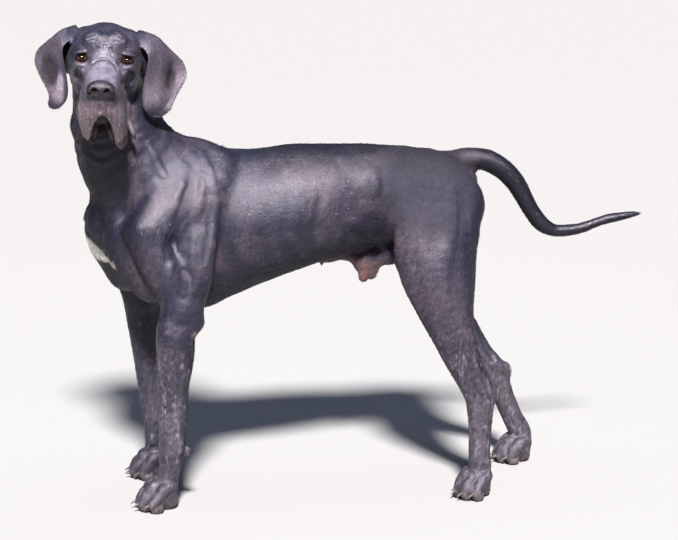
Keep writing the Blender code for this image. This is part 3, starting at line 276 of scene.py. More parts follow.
def one_piece(corners):
    """True where the corners hang together along the cell's edges."""
    corners = set(corners)
    if not corners:
        return True
    todo = [corners.pop()]
    while todo:
        a = todo.pop()
        for b in [c for c in corners if sum(x != y for x, y in zip(a, c)) == 1]:
            corners.remove(b)
            todo.append(b)
    return not corners


def sealed(D, h):
    """Fills the clefts that are too narrow for the grid, so that the surface never touches itself."""
    table = np.array([not (one_piece([c for i, c in enumerate(CORNERS) if code >> i & 1]) and one_piece([c for i, c in enumerate(CORNERS) if not code >> i & 1]))
                      for code in range(256)])
    n = D.shape
    for _ in range(12):
        S = D < 0
        code = np.zeros([x - 1 for x in n], np.int32)
        for i, c in enumerate(CORNERS):
            code += S[c[0]:n[0] - 1 + c[0], c[1]:n[1] - 1 + c[1], c[2]:n[2] - 1 + c[2]].astype(np.int32) << i
        bad = np.argwhere(table[code])
        if not len(bad):
            break
        for c in CORNERS:
            at = tuple((bad + c).T)
            D[at] = np.minimum(D[at], -0.02 * h)
    return D


def nets(D, lo, h):
    """Surface nets: (points, quads) of the zero level, faces outward."""
    D = sealed(D, h)
    n = D.shape
    S = D < 0
    cnt = np.zeros([x - 1 for x in n], np.int8)
    for c in CORNERS:
        cnt += S[c[0]:n[0] - 1 + c[0], c[1]:n[1] - 1 + c[1], c[2]:n[2] - 1 + c[2]]
    cells = np.argwhere((cnt > 0) & (cnt < 8))
    index = np.full(cnt.shape, -1, np.int32)
    index[tuple(cells.T)] = np.arange(len(cells))
    acc = np.zeros((len(cells), 3))
    num = np.zeros(len(cells))
    for a, b in EDGES:
        fa = D[tuple((cells + a).T)].astype(float)
        fb = D[tuple((cells + b).T)].astype(float)
        x = (fa < 0) != (fb < 0)
        t = np.where(x, fa / np.where(x, fa - fb, 1), 0)
        acc += np.where(x[:, None], np.array(a) + t[:, None] * (np.array(b) - np.array(a)), 0)
        num += x
    pts = lo + (cells + acc / num[:, None]) * h
    quads = []
    for ax in range(3):
        o = [0, 0, 0]
        o[ax] = 1
        A = S[tuple(slice(0, n[i] - o[i]) for i in range(3))]
        B = S[tuple(slice(o[i], n[i]) for i in range(3))]
        u, v = [(1, 2), (2, 0), (0, 1)][ax]
        for flip, e in ((False, A & ~B), (True, ~A & B)):
            at = np.argwhere(e)
            at = at[(at[:, u] > 0) & (at[:, v] > 0) & (at[:, u] < n[u] - 1) & (at[:, v] < n[v] - 1)]
            q = []
            for du, dv in ((0, 0), (-1, 0), (-1, -1), (0, -1)):
                c = at.copy()
                c[:, u] += du
                c[:, v] += dv
                q.append(index[tuple(c.T)])
            q = np.stack(q, 1)
            quads.append(q[:, ::-1] if flip else q)
    return pts, np.concatenate(quads)


TETRA = np.array([[1, 1, 1], [1, -1, -1], [-1, 1, -1], [-1, -1, 1]], float)


def block_order(P, size):
    key = np.floor((P - P.min(0)) / size).astype(np.int64)
    key = key[:, 0] * 1000000 + key[:, 1] * 1000 + key[:, 2]
    order = np.argsort(key, kind="stable")
    cuts = np.nonzero(np.diff(key[order]))[0] + 1
    return np.split(order, cuts)


def value_and_slope(P, parts, e=0.0006, size=0.07):
    val = np.empty(len(P))
    grad = np.empty((len(P), 3))
    for on in block_order(P, size):
        Q = P[on]
        lo, hi = Q.min(0), Q.max(0)
        near = [p for p in parts if (p[0] - p[2] - 0.022 < hi).all() and (p[1] + p[2] + 0.022 > lo).all()]
        pts = np.concatenate([Q + e * t for t in TETRA])
        f = evaluate(pts, near).reshape(4, -1)
        val[on] = f.mean(0)
        grad[on] = (TETRA.T @ f).T * (0.75 / e) / 3.0
    return val, grad


def settle(P, parts, level=0.0, rounds=3, most=0.004):
    """Moves points onto the given level of the field."""
    for _ in range(rounds):
        f, g = value_and_slope(P, parts)
        n2 = np.maximum((g * g).sum(1), 0.04)
        m = ((f - level) / n2)[:, None] * g
        L = np.linalg.norm(m, axis=1, keepdims=True)
        P = P - m * np.minimum(1.0, most / np.maximum(L, 1e-12))
    return P


# ------------------------------------------------------------------ trunk
FRONT_TURN = 0.33     # how far the shoulders are turned towards the viewer's side, as a slope


def turn(P):
    """The shoulders' turn: undoes the shear of the front of the body."""
    Q = np.array(P, float)
    w = step(-P[..., 0], -0.78, -0.30) * step(P[..., 2], 0.10, 0.42)
    Q[..., 0] = P[..., 0] + FRONT_TURN * P[..., 1] * w
    return Q


TRUNK = [  # x, top, bottom, height of the widest line, half width, roundness above, below
    (0.185, 0.655, 0.565, 0.610, 0.040, 2.0, 2.0),
    (0.205, 0.725, 0.512, 0.615, 0.074, 2.0, 2.0),
    (0.24, 0.765, 0.478, 0.625, 0.100, 2.0, 1.9),
    (0.29, 0.800, 0.455, 0.630, 0.112, 1.9, 1.8),
    (0.35, 0.830, 0.446, 0.640, 0.118, 1.8, 1.75),
    (0.40, 0.832, 0.447, 0.650, 0.125, 1.75, 1.75),
    (0.45, 0.815, 0.470, 0.655, 0.132, 1.8, 1.8),
    (0.52, 0.812, 0.498, 0.660, 0.137, 1.9, 1.85),
    (0.60, 0.820, 0.526, 0.668, 0.134, 2.0, 1.9),
    (0.68, 0.819, 0.550, 0.680, 0.124, 2.1, 2.0),
    (0.76, 0.817, 0.573, 0.695, 0.109, 2.1, 2.0),
    (0.84, 0.812, 0.592, 0.705, 0.100, 2.0, 2.0),
    (0.90, 0.804, 0.606, 0.712, 0.097, 1.9, 2.0),
    (0.95, 0.792, 0.630, 0.715, 0.088, 1.9, 2.0),
    (0.985, 0.776, 0.660, 0.718, 0.068, 1.9, 2.0),
    (1.005, 0.755, 0.690, 0.722, 0.040, 2.0, 2.0),
]


def trunk_parts(table, cap0=0.035, cap1=0.03):
    T = smooth_rows(table, 4)
    xs = T[:, 0]

    def fn(P):
        x = P[..., 0]
        t, b, zw, w, nu, nl = [np.interp(x, xs, T[:, i]) for i in range(1, 7)]
        u = np.abs(P[..., 1]) / w
        dz = P[..., 2] - zw
        h = np.where(dz > 0, t - zw, zw - b)
        n = np.where(dz > 0, nu, nl)
        v = np.abs(dz) / h
        e = np.maximum(xs[0] - x, 0) / cap0 + np.maximum(x - xs[-1], 0) / cap1
        s = u ** n + v ** n + 1e-12
        k0 = s ** (1 / n)
        g = k0 ** (1 - n) * np.sqrt((u ** (n - 1) / w) ** 2 + (v ** (n - 1) / h) ** 2)
        k = np.sqrt(k0 * k0 + e * e)
        return (k - 1.0) / np.maximum(g, 4.0)

    put(fn, (xs[0] - cap0 - .03, -0.19, 0.42), (xs[-1] + cap1, 0.19, 0.86), 0.012, 1, turn)


trunk_parts(TRUNK)

# shoulder blade, upper arm and breast, on both sides of the turned front
for s in (-1, 1):
    limb([(0.400, s * 0.040, 0.800, 0.022, 0.035, 0.045),
          (0.350, s * 0.078, 0.765, 0.024, 0.050, 0.060),
          (0.280, s * 0.105, 0.710, 0.028, 0.050, 0.062),
          (0.215, s * 0.118, 0.655, 0.032, 0.038, 0.050)], k=0.035, warp=turn)
    limb([(0.205, s * 0.118, 0.648, 0.034, 0.040, 0.042),
          (0.238, s * 0.130, 0.570, 0.032, 0.042, 0.044),
          (0.280, s * 0.130, 0.490, 0.032, 0.040, 0.045),
          (0.300, s * 0.126, 0.440, 0.032, 0.042, 0.040)], k=0.020, warp=turn)
    # triceps, from the blade's rear edge down to the point of the elbow
    limb([(0.372, s * 0.100, 0.705, 0.022, 0.040, 0.030),
          (0.340, s * 0.120, 0.625, 0.028, 0.060, 0.038),
          (0.325, s * 0.130, 0.545, 0.027, 0.055, 0.036),
          (0.311, s * 0.130, 0.475, 0.022, 0.038, 0.023),
          (0.312, s * 0.127, 0.450, 0.018, 0.024, 0.013)], k=0.018, warp=turn)
    # breast muscle
    ball((0.192, s * 0.050, 0.605), (0.046, 0.048, 0.080), axes_from((1, 0, 0.30)), k=0.022, warp=turn)
    ball((0.235, s * 0.070, 0.530), (0.044, 0.042, 0.060), axes_from((1, 0, 0.45)), k=0.030, warp=turn)
    # rump muscle and seat bone
    ball((0.925, s * 0.056, 0.722), (0.092, 0.050, 0.066), axes_from((1, 0, -0.42)), k=0.030)
    ball((0.862, s * 0.050, 0.782), (0.030, 0.022, 0.018), k=0.022)
    ball((1.000, s * 0.062, 0.674), (0.038, 0.034, 0.050), k=0.026)
ball((0.160, 0, 0.655), (0.034, 0.030, 0.050), k=0.026, warp=turn)   # point of the breastbone

# ------------------------------------------------------------------ neck
limb([(0.345, 0.000, 0.680, 0.105, 0.150, 0.110),
      (0.290, 0.000, 0.745, 0.102, 0.150, 0.112),
      (0.240, -0.004, 0.815, 0.094, 0.132, 0.095),
      (0.208, -0.008, 0.875, 0.086, 0.104, 0.092),
      (0.190, -0.012, 0.940, 0.080, 0.088, 0.088),
      (0.182, -0.024, 0.990, 0.076, 0.076, 0.078),
      (0.178, -0.040, 1.030, 0.066, 0.064, 0.066)], fore=(-1, 0, 0), k=0.035)

ball((0.130, -0.014, 0.874), (0.030, 0.046, 0.026), k=0.022)            # loose skin of the throat

# ------------------------------------------------------------------ tail
TAIL = [(0.960, 0, 0.762, .030), (1.000, 0, 0.774, .028), (1.035, 0, 0.775, .0275), (1.062, 0, 0.769, .0272), (1.097, -.001, 0.748, .0256),
        (1.127, -.002, 0.717, .0238), (1.147, -.003, 0.684, .0217), (1.166, -.004, 0.650, .0198), (1.191, -.005, 0.618, .0187),
        (1.221, -.006, 0.601, .0160), (1.254, -.007, 0.600, .0150), (1.290, -.008, 0.605, .0131), (1.322, -.009, 0.616, .0121),
        (1.352, -.010, 0.625, .0116), (1.385, -.011, 0.630, .0105), (1.410, -.012, 0.634, .0085), (1.430, -.012, 0.636, .0045)]
limb([(x, y, z, r, r, r) for x, y, z, r in TAIL], fore=(0, 0, 1), k=0.022)

# ------------------------------------------------------------------ fore legs
limb([(0.328, -0.126, 0.470, 0.036, 0.046, 0.036),
      (0.315, -0.124, 0.420, 0.038, 0.046, 0.044),
      (0.314, -0.120, 0.360, 0.036, 0.046, 0.043),
      (0.309, -0.116, 0.300, 0.031, 0.040, 0.037),
      (0.306, -0.113, 0.240, 0.027, 0.036, 0.034),
      (0.305, -0.110, 0.185, 0.0265, 0.034, 0.031),
      (0.303, -0.109, 0.150, 0.029, 0.032, 0.030),
      (0.299, -0.108, 0.120, 0.0275, 0.028, 0.026),
      (0.296, -0.103, 0.085, 0.0255, 0.025, 0.024),
      (0.290, -0.100, 0.055, 0.027, 0.026, 0.024)], k=0.014)
ball((0.342, -0.130, 0.434), (0.015, 0.016, 0.020), k=0.014)          # point of the elbow
ball((0.336, -0.110, 0.133), (0.011, 0.010, 0.015), k=0.008)          # stopper pad
limb([(0.258, 0.128, 0.470, 0.036, 0.044, 0.036),
      (0.262, 0.134, 0.420, 0.038, 0.048, 0.046),
      (0.268, 0.134, 0.360, 0.036, 0.045, 0.043),
      (0.272, 0.133, 0.300, 0.031, 0.040, 0.037),
      (0.276, 0.132, 0.240, 0.027, 0.036, 0.034),
      (0.281, 0.131, 0.180, 0.0265, 0.034, 0.031),
      (0.284, 0.130, 0.145, 0.029, 0.031, 0.030),
      (0.283, 0.131, 0.115, 0.0275, 0.028, 0.026),
      (0.281, 0.133, 0.080, 0.0255, 0.025, 0.024),
      (0.277, 0.134, 0.055, 0.027, 0.026, 0.024)], k=0.014)
ball((0.284, 0.135, 0.440), (0.020, 0.017, 0.022), k=0.020)
ball((0.316, 0.131, 0.130), (0.011, 0.010, 0.015), k=0.008)

# ------------------------------------------------------------------ hind legs
limb([(0.930, -0.066, 0.715, 0.045, 0.090, 0.088),
      (0.918, -0.086, 0.650, 0.050, 0.100, 0.104),
      (0.912, -0.100, 0.590, 0.050, 0.096, 0.101),
      (0.914, -0.110, 0.535, 0.048, 0.088, 0.093),
      (0.925, -0.118, 0.480, 0.045, 0.074, 0.077),
      (0.939, -0.124, 0.430, 0.041, 0.062, 0.062),
      (0.954, -0.128, 0.380, 0.037, 0.050, 0.050),
      (0.974, -0.130, 0.330, 0.033, 0.045, 0.044),
      (0.996, -0.132, 0.285, 0.029, 0.041, 0.038),
      (1.014, -0.134, 0.240, 0.027, 0.037, 0.036),
      (1.015, -0.136, 0.200, 0.025, 0.031, 0.032),
      (1.015, -0.138, 0.160, 0.023, 0.027, 0.028),
      (1.014, -0.140, 0.110, 0.0235, 0.026, 0.026),
      (1.016, -0.139, 0.075, 0.026, 0.027, 0.028),
      (1.014, -0.139, 0.052, 0.027, 0.026, 0.026)], k=0.022)
ball((1.046, -0.134, 0.246), (0.015, 0.013, 0.022), k=0.014)          # point of the hock
limb([(0.930, 0.066, 0.715, 0.045, 0.090, 0.088),
      (0.926, 0.086, 0.650, 0.050, 0.100, 0.094),
      (0.930, 0.098, 0.590, 0.050, 0.096, 0.090),
      (0.944, 0.106, 0.535, 0.048, 0.088, 0.080),
      (0.962, 0.111, 0.480, 0.045, 0.073, 0.068),
      (0.984, 0.114, 0.430, 0.041, 0.060, 0.056),
      (1.008, 0.114, 0.375, 0.037, 0.049, 0.048),
      (1.040, 0.113, 0.325, 0.033, 0.043, 0.042),
      (1.076, 0.112, 0.275, 0.029, 0.037, 0.036),
      (1.110, 0.111, 0.236, 0.027, 0.034, 0.034),
      (1.127, 0.110, 0.200, 0.025, 0.030, 0.029),
      (1.142, 0.110, 0.160, 0.023, 0.027, 0.026),
      (1.163, 0.110, 0.112, 0.0235, 0.026, 0.026),
      (1.182, 0.110, 0.075, 0.026, 0.028, 0.028),
      (1.184, 0.110, 0.050, 0.027, 0.028, 0.028)], k=0.022)
ball((1.142, 0.111, 0.232), (0.016, 0.013, 0.022), k=0.014)


# ------------------------------------------------------------------ paws
CLAWS = []


def paw(name, x, y, heading, out, size=1.0, lift=0.0):
    """A paw whose main pad stands at (x, y). heading is the toes' turn in degrees from straight ahead, positive to the dog's left; out is +1 where
    the outer side is the dog's left."""
    a = math.radians(heading)
    f = np.array([-math.cos(a), -math.sin(a), 0.0])
    q = np.array([math.sin(a), -math.cos(a), 0.0]) * out   # towards the outer side

    def at(p, w, z):
        v = np.array([x, y, lift]) + size * (p * f + w * q)
        return (v[0], v[1], lift + size * z)

    toes = [(-0.033, -0.020, "inner"), (-0.0118, 0.0, "mid_in"), (0.0118, 0.0, "mid_out"), (0.033, -0.018, "outer")]
    for w, back, label in toes:
        splay = 1.04
        rows = [(*at(-0.004 + back * .5, w * 0.62, 0.054), .012, .012, .014),
                (*at(0.018 + back, w * 0.88, 0.060), .0128, .012, .016),
                (*at(0.036 + back, w, 0.050), .0138, .0130, .018),
                (*at(0.050 + back, w * splay, 0.031), .0130, .0130, .015),
                (*at(0.059 + back, w * splay, 0.019), .0108, .0100, .0100)]
        rows = [(r[0], r[1], r[2], *(size * np.array(r[3:]))) for r in rows]
        limb(rows, fore=(0, 0, 1), k=0.0055)
        ball(at(0.047 + back, w * splay, 0.0105), size * np.array([.0165, .0118, .0125]), axes_from(f), k=0.004)
        tip = np.array(at(0.068 + back, w * splay, 0.0200))
        CLAWS.append((name + "_" + label, tip, f, size))
    ball(at(-0.004, 0, 0.0145), size * np.array([.026, .029, .0165]), axes_from(f), k=0.008)
    ball(at(0.006, 0, 0.044), size * np.array([.036, .032, .024]), axes_from(f), k=0.012)
    ball(at(0.016, 0, 0.029), size * np.array([.046, .038, .023]), axes_from(f), k=0.008)
    for w in (-0.023, 0.0, 0.023):                                    # webs between the toes
        ball(at(0.034 - 14 * w * w, w, 0.026), size * np.array([.022, .010, .018]), axes_from(f), k=0.006)


paw("foreleg_left", 0.285, -0.098, 12, 1)
paw("foreleg_right", 0.285, 0.138, 0, -1)
paw("hindleg_left", 1.014, -0.137, 27, 1, 0.95)
paw("hindleg_right", 1.180, 0.110, 6, -1, 0.97)

# dewclaws on the inner side of the fore pasterns
for name, p in (("foreleg_left", (0.283, -0.084, 0.104)), ("foreleg_right", (0.271, 0.108, 0.100))):
    s = 1 if p[1] < 0 else -1
    ball(p, (0.0085, 0.0085, 0.014), k=0.008)
    CLAWS.append((name + "_dewclaw", vec(p[0] - 0.006, p[1] + s * 0.003, p[2] - 0.010), unit((-0.50, s * 0.15, -0.85)), 0.75))

# ------------------------------------------------------------------ head
EYES_AT = vec(0.171, -0.150, 1.0325)      # between the eyes
HEAD_TURN, HEAD_DROP, HEAD_TILT = 84.3, 12.27, 3.86    # degrees: to the dog's left, down, and over to its left
_t, _d, _r = (math.radians(a) for a in (HEAD_TURN, HEAD_DROP, HEAD_TILT))
hf = vec(-math.cos(_t) * math.cos(_d), -math.sin(_t) * math.cos(_d), -math.sin(_d))
_l = vec(math.sin(_t), -math.cos(_t), 0)
_u = np.cross(hf, _l)
hl = math.cos(_r) * _l - math.sin(_r) * _u
hu = np.cross(hf, hl)
HEAD = np.array([hf, hl, hu])             # rows: forward, left, up


def to_head(P):
    return (P - EYES_AT) @ HEAD.T


def from_head(p):
    return EYES_AT + np.asarray(p, float) @ HEAD


H = []   # head parts, in the head's own frame


def hb(c, r, A=None, k=0.012, op=1, mirror=False):
    ball(c, r, A, k, op, None, mirror, into=H)


def hlimb(rows, fore, k=0.012, op=1, mirror=False, per=3):
    limb(rows, fore, k, op, per, None, mirror, into=H)


hb((-0.078, 0, 0.000), (0.088, 0.068, 0.053))                                            # brain case
hb((-0.150, 0, 0.012), (0.022, 0.020, 0.022), k=0.02)                                    # back of the skull
hb((-0.068, 0.052, 0.000), (0.058, 0.028, 0.043), k=0.018, mirror=True)                  # temple muscle
hb((-0.034, 0, 0.006), (0.048, 0.050, 0.038), k=0.016)                                   # forehead
hb((-0.0135, 0.0270, 0.0265), (0.0195, 0.0190, 0.0165), k=0.014, mirror=True)                # brow
hb((-0.022, 0.024, 0.040), (0.018, 0.022, 0.013), k=0.014, mirror=True)
hb((-0.024, 0.050, 0.012), (0.026, 0.020, 0.016), axes_from((1, -0.25, 0.10)), k=0.010, mirror=True)   # rim above the eye
hb((-0.042, 0.060, -0.018), (0.056, 0.019, 0.018), axes_from((1, -0.22, 0.02)), k=0.013, mirror=True)  # cheek bone
hb((-0.006, 0.045, -0.019), (0.022, 0.017, 0.012), axes_from((1, -0.15, 0.0)), k=0.010, mirror=True)   # pouch below the eye
hb((-0.060, 0.053, -0.055), (0.048, 0.025, 0.042), k=0.016, mirror=True)                 # cheek muscle
hb((-0.050, 0, -0.040), (0.070, 0.055, 0.050), k=0.02)
hb((-0.080, 0.082, -0.022), (0.026, 0.019, 0.042), k=0.010, mirror=True)                 # root of the ear
# muzzle
hlimb([(-0.010, 0, -0.034, 0.044, 0.044, 0.044), (0.040, 0, -0.037, 0.039, 0.040, 0.042), (0.090, 0, -0.039, 0.037, 0.037, 0.040),
       (0.122, 0, -0.041, 0.035, 0.034, 0.034)], (0, 0, 1), k=0.016)
hlimb([(-0.004, 0.016, -0.012, 0.018, 0.017, 0.02), (0.060, 0.0175, -0.017, 0.016, 0.0155, 0.02), (0.126, 0.0160, -0.021, 0.014, 0.0135, 0.018)], (0, 0, 1), k=0.012, mirror=True)
# hanging lips: from the corner of the mouth round to the middle, each as x then (y, z) at the top, the fullest place and the edge. They hang
# unevenly: the dog's left one outward, the right one inward.
LIPS = {1: [(-0.004, .041, -.060, .047, -.084, .047, -.110), (0.034, .040, -.052, .0465, -.096, .0500, -.142), (0.070, .037, -.048, .0470, -.104, .0530, -.158),
            (0.100, .033, -.048, .0455, -.108, .0440, -.163), (0.118, .029, -.050, .0400, -.096, .0360, -.140), (0.134, .022, -.052, .0310, -.082, .0260, -.100),
            (0.146, .012, -.053, .0190, -.068, .0130, -.078), (0.152, .003, -.050, .0060, -.060, .0035, -.072)],
        -1: [(-0.004, .041, -.060, .046, -.082, .045, -.106), (0.034, .040, -.052, .0450, -.092, .0445, -.132), (0.070, .037, -.048, .0435, -.102, .0340, -.152),
             (0.100, .033, -.048, .0410, -.104, .0170, -.161), (0.118, .029, -.050, .0370, -.096, .0215, -.140), (0.134, .022, -.052, .0290, -.084, .0165, -.106),
             (0.146, .012, -.053, .0160, -.070, .0075, -.084), (0.152, .003, -.050, .0050, -.060, .0030, -.073)]}
LIP_THICK = 0.0060


def lip_part(side):
    R = smooth_rows(LIPS[side], 3)
    v = np.linspace(0, 1, 8)
    G = np.empty((len(R), len(v), 3))
    for i, (x, y0, z0, y1, z1, y2, z2) in enumerate(R):
        a, b, c = (1 - v) * (1 - 2 * v), 4 * v * (1 - v), v * (2 * v - 1)
        G[i, :, 0] = x
        G[i, :, 1] = side * (a * y0 + b * y1 + c * y2)
        G[i, :, 2] = a * z0 + b * z1 + c * z2
    t = np.repeat((LIP_THICK * (1.05 - 0.28 * v ** 2))[None], len(R), 0)
    fn, lo, hi = sheet_fn(G, t)
    put(fn, lo, hi, 0.010, 1, None, H)


for s in (-1, 1):
    lip_part(s)
hb((0.132, 0, -0.058), (0.020, 0.020, 0.020), k=0.010)
# fold at the corner of the mouth, standing out on the left
hb((0.022, 0.063, -0.147), (0.017, 0.0065, 0.029), axes_from((1, 0.15, -0.1), (0, -0.42, 1)), k=0.006)
hb((0.012, 0.054, -0.112), (0.018, 0.010, 0.022), k=0.010)
hb((0.012, -0.050, -0.116), (0.016, 0.007, 0.024), axes_from((1, 0, -0.1)), k=0.008)
# lower lip, hanging inside the upper one on each side of the chin
hlimb([(0.112, -0.008, -.100, .006, .006, .006), (0.104, -0.0115, -.118, .008, .008, .008), (0.092, -0.0150, -.140, .009, .009, .009), (0.078, -0.0165, -.155, .007, .007, .007)], (1, 0, 0), k=0.005)
hlimb([(0.112, 0.012, -.100, .006, .006, .006), (0.104, 0.0190, -.118, .008, .008, .008), (0.092, 0.0270, -.140, .0095, .009, .009), (0.078, 0.0310, -.157, .008, .008, .008)], (1, 0, 0), k=0.005)
# a mass filling the mouth between the lips, painted near black as shade
hb((0.052, 0.004, -0.120), (0.030, 0.032, 0.038), k=0.008)                               # inside of the mouth
# lower jaw
hlimb([(-0.060, 0, -0.085, 0.050, 0.03, 0.026), (0.000, 0, -0.088, 0.036, 0.022, 0.024), (0.060, 0, -0.091, 0.027, 0.018, 0.020),
       (0.108, 0, -0.093, 0.021, 0.014, 0.018)], (0, 0, 1), k=0.010)
# nose
hb((0.140, 0, -0.020), (0.019, 0.029, 0.0175), k=0.004)
hb((0.148, 0, -0.026), (0.011, 0.027, 0.0160), k=0.006)
hb((0.146, 0.0180, -0.026), (0.013, 0.0135, 0.0145), k=0.005, mirror=True)
hb((0.150, 0, -0.038), (0.0075, 0.0095, 0.013), k=0.005)
hb((0.143, 0, -0.036), (0.014, 0.0215, 0.0135), k=0.006)
hb((0.163, 0.0142, -0.0235), (0.012, 0.0066, 0.0072), axes_from((1, 0.25, 0.05)), k=0.002, op=-1, mirror=True)
hb((0.157, 0.0235, -0.0290), (0.014, 0.0075, 0.0020), axes_from((1, 0.35, 0), (0, 0.45, 1)), k=0.0015, op=-1, mirror=True)
# eye sockets and lids: the opening is highest near the inner side and runs out to a low outer corner
EYE_Z = -0.0040
LID_TOP = [(-.0108, -.0062), (-.0080, .0002), (-.0050, .0048), (-.0010, .0074), (.0035, .0066), (.0075, .0032), (.0110, -.0016), (.0136, -.0060)]
LID_LOW = [(-.0108, -.0064), (-.0080, -.0086), (-.0035, -.0097), (.0015, -.0095), (.0065, -.0084), (.0110, -.0071), (.0136, -.0061)]


def lid_opening(s):
    up, lo_ = smooth_rows(LID_TOP, 4), smooth_rows(LID_LOW, 4)

    def fn(P):
        u = s * P[..., 1] - 0.048
        w = P[..., 2] - FACE_SLOPE * P[..., 0]
        d = np.maximum(w - np.interp(u, up[:, 0], up[:, 1]), np.interp(u, lo_[:, 0], lo_[:, 1]) - w) * 0.85
        d = np.maximum(d, np.abs(u - 0.0014) - 0.0120)
        return np.maximum(d, -(P[..., 0] + 0.014))

    put(fn, (-0.014, min(s * 0.036, s * 0.063), -0.016), (0.016, max(s * 0.036, s * 0.063), 0.014), 0.0018, -1, None, H)


FACE_SLOPE = 0.308     # the face is seen and drawn from this much above straight ahead
for s in (-1, 1):
    hb((-0.0105, s * 0.048, EYE_Z), (0.0152, 0.0165, 0.0155), k=0.0050)
    hb((-0.0060, s * 0.0495, 0.0108), (0.0140, 0.0165, 0.0048), axes_from((1, s * 0.35, 0.05), (0, s * 0.22, 1)), k=0.0045)
    lid_opening(s)


def add_head():
    for lo, hi, k, op, fn, warp in H:
        c = np.array([[x, y, z] for x in (lo[0], hi[0]) for y in (lo[1], hi[1]) for z in (lo[2], hi[2])])
        w = from_head(c)
        PARTS.append((w.min(0), w.max(0), k, op, (lambda f: lambda P: f(to_head(P)))(fn), None))


NECK_COUNT = len(PARTS)
add_head()
EYES = {"right": vec(-0.0105, -0.048, EYE_Z), "left": vec(-0.0105, 0.048, EYE_Z)}

# ------------------------------------------------------------------ ears
EARS = {
    "left": dict(side=1, rows=[
        [(-.050, .064, .028), (-.062, .070, .033), (-.085, .073, .037), (-.106, .069, .031), (-.122, .063, .014)],
        [(-.032, .092, .006), (-.052, .103, .019), (-.080, .112, .025), (-.106, .110, .018), (-.124, .101, .002)],
        [(-.026, .092, -.024), (-.040, .108, -.016), (-.058, .126, -.010), (-.092, .142, -.010), (-.112, .158, -.022)],
        [(-.026, .084, -.068), (-.034, .104, -.066), (-.048, .125, -.062), (-.086, .143, -.056), (-.096, .177, -.056)],
        [(-.029, .083, -.100), (-.035, .100, -.102), (-.044, .121, -.100), (-.068, .143, -.094), (-.076, .162, -.090)],
        [(-.034, .089, -.122), (-.038, .102, -.127), (-.042, .117, -.127), (-.048, .134, -.122), (-.051, .148, -.118)],
        [(-.037, .099, -.136), (-.039, .107, -.1405), (-.041, .117, -.142), (-.044, .131, -.138), (-.046, .143, -.129)]]),
    "right": dict(side=-1, rows=[
        [(-.050, .062, .031), (-.062, .068, .036), (-.085, .071, .040), (-.106, .068, .033), (-.122, .062, .015)],
        [(-.030, .090, .014), (-.050, .097, .022), (-.080, .102, .026), (-.106, .100, .020), (-.124, .094, .004)],
        [(-.024, .089, -.018), (-.038, .102, -.010), (-.060, .116, -.004), (-.094, .130, -.006), (-.112, .142, -.016)],
        [(-.022, .080, -.055), (-.030, .093, -.052), (-.046, .107, -.046), (-.082, .131, -.042), (-.098, .154, -.044)],
        [(-.021, .077, -.086), (-.026, .089, -.088), (-.036, .103, -.085), (-.060, .122, -.078), (-.076, .140, -.074)],
        [(-.027, .081, -.110), (-.031, .092, -.114), (-.036, .104, -.113), (-.046, .115, -.107), (-.052, .121, -.101)],
        [(-.034, .092, -.127), (-.037, .100, -.132), (-.040, .110, -.134), (-.043, .118, -.131), (-.045, .123, -.123)]])}


def ear_grid(name, m=25, n=17):
    e = EARS[name]
    R = np.array(e["rows"], float)
    R[..., 1] *= e["side"]
    # even rows and columns by smooth interpolation
    A = np.array([smooth_rows(R[:, j], 8) for j in range(R.shape[1])])          # columns -> (5, M, 3)
    A = A.transpose(1, 0, 2)
    B = np.array([smooth_rows(r, 8) for r in A])                                # (M, N, 3)
    i = np.linspace(0, B.shape[0] - 1, m).round().astype(int)
    j = np.linspace(0, B.shape[1] - 1, n).round().astype(int)
    return B[i][:, j]


EAR_THICK = 0.0034


def ear_part(name):
    G = ear_grid(name)
    m, n = G.shape[:2]
    u = np.linspace(0, 1, m)[:, None]
    v = np.linspace(-1, 1, n)[None]
    t = EAR_THICK * (1.5 - 0.9 * u ** 0.7) * (1 - 0.35 * v ** 4)
    fn, lo, hi = sheet_fn(from_head(G.reshape(-1, 3)).reshape(G.shape), t)
    put(fn, lo, hi, 0.006, 1)


BODY = list(PARTS)
for n_ in EARS:
    ear_part(n_)

# sheath and the lobe behind it, hanging below the belly
limb([(0.648, 0, 0.553, 0.008, 0.010, 0.012), (0.680, 0, 0.549, 0.012, 0.014, 0.012), (0.712, 0, 0.556, 0.0145, 0.016, 0.014),
      (0.745, -0.002, 0.548, 0.0155, 0.016, 0.016), (0.764, -0.004, 0.522, 0.0150, 0.016, 0.016), (0.764, -0.004, 0.504, 0.0140, 0.014, 0.014)], fore=(0, 0, 1), k=0.009, into=BODY)
ball((0.776, 0.003, 0.548), (0.040, 0.022, 0.038), k=0.012, into=BODY)
ball((0.782, 0.010, 0.520), (0.022, 0.017, 0.026), k=0.010, into=BODY)
ball((0.825, 0, 0.562), (0.030, 0.020, 0.034), k=0.014, into=BODY)
ball((0.666, 0, 0.539), (0.006, 0.004, 0.009), k=0.006, into=BODY)
PARTS.extend(BODY[-5:])

# ------------------------------------------------------------------ folds, creases, veins and tendons
RELIEF = 1.4           # how strongly the muscles' edges stand out


def polyline(pts, per=4):
    return smooth_rows([list(p) for p in pts], per)


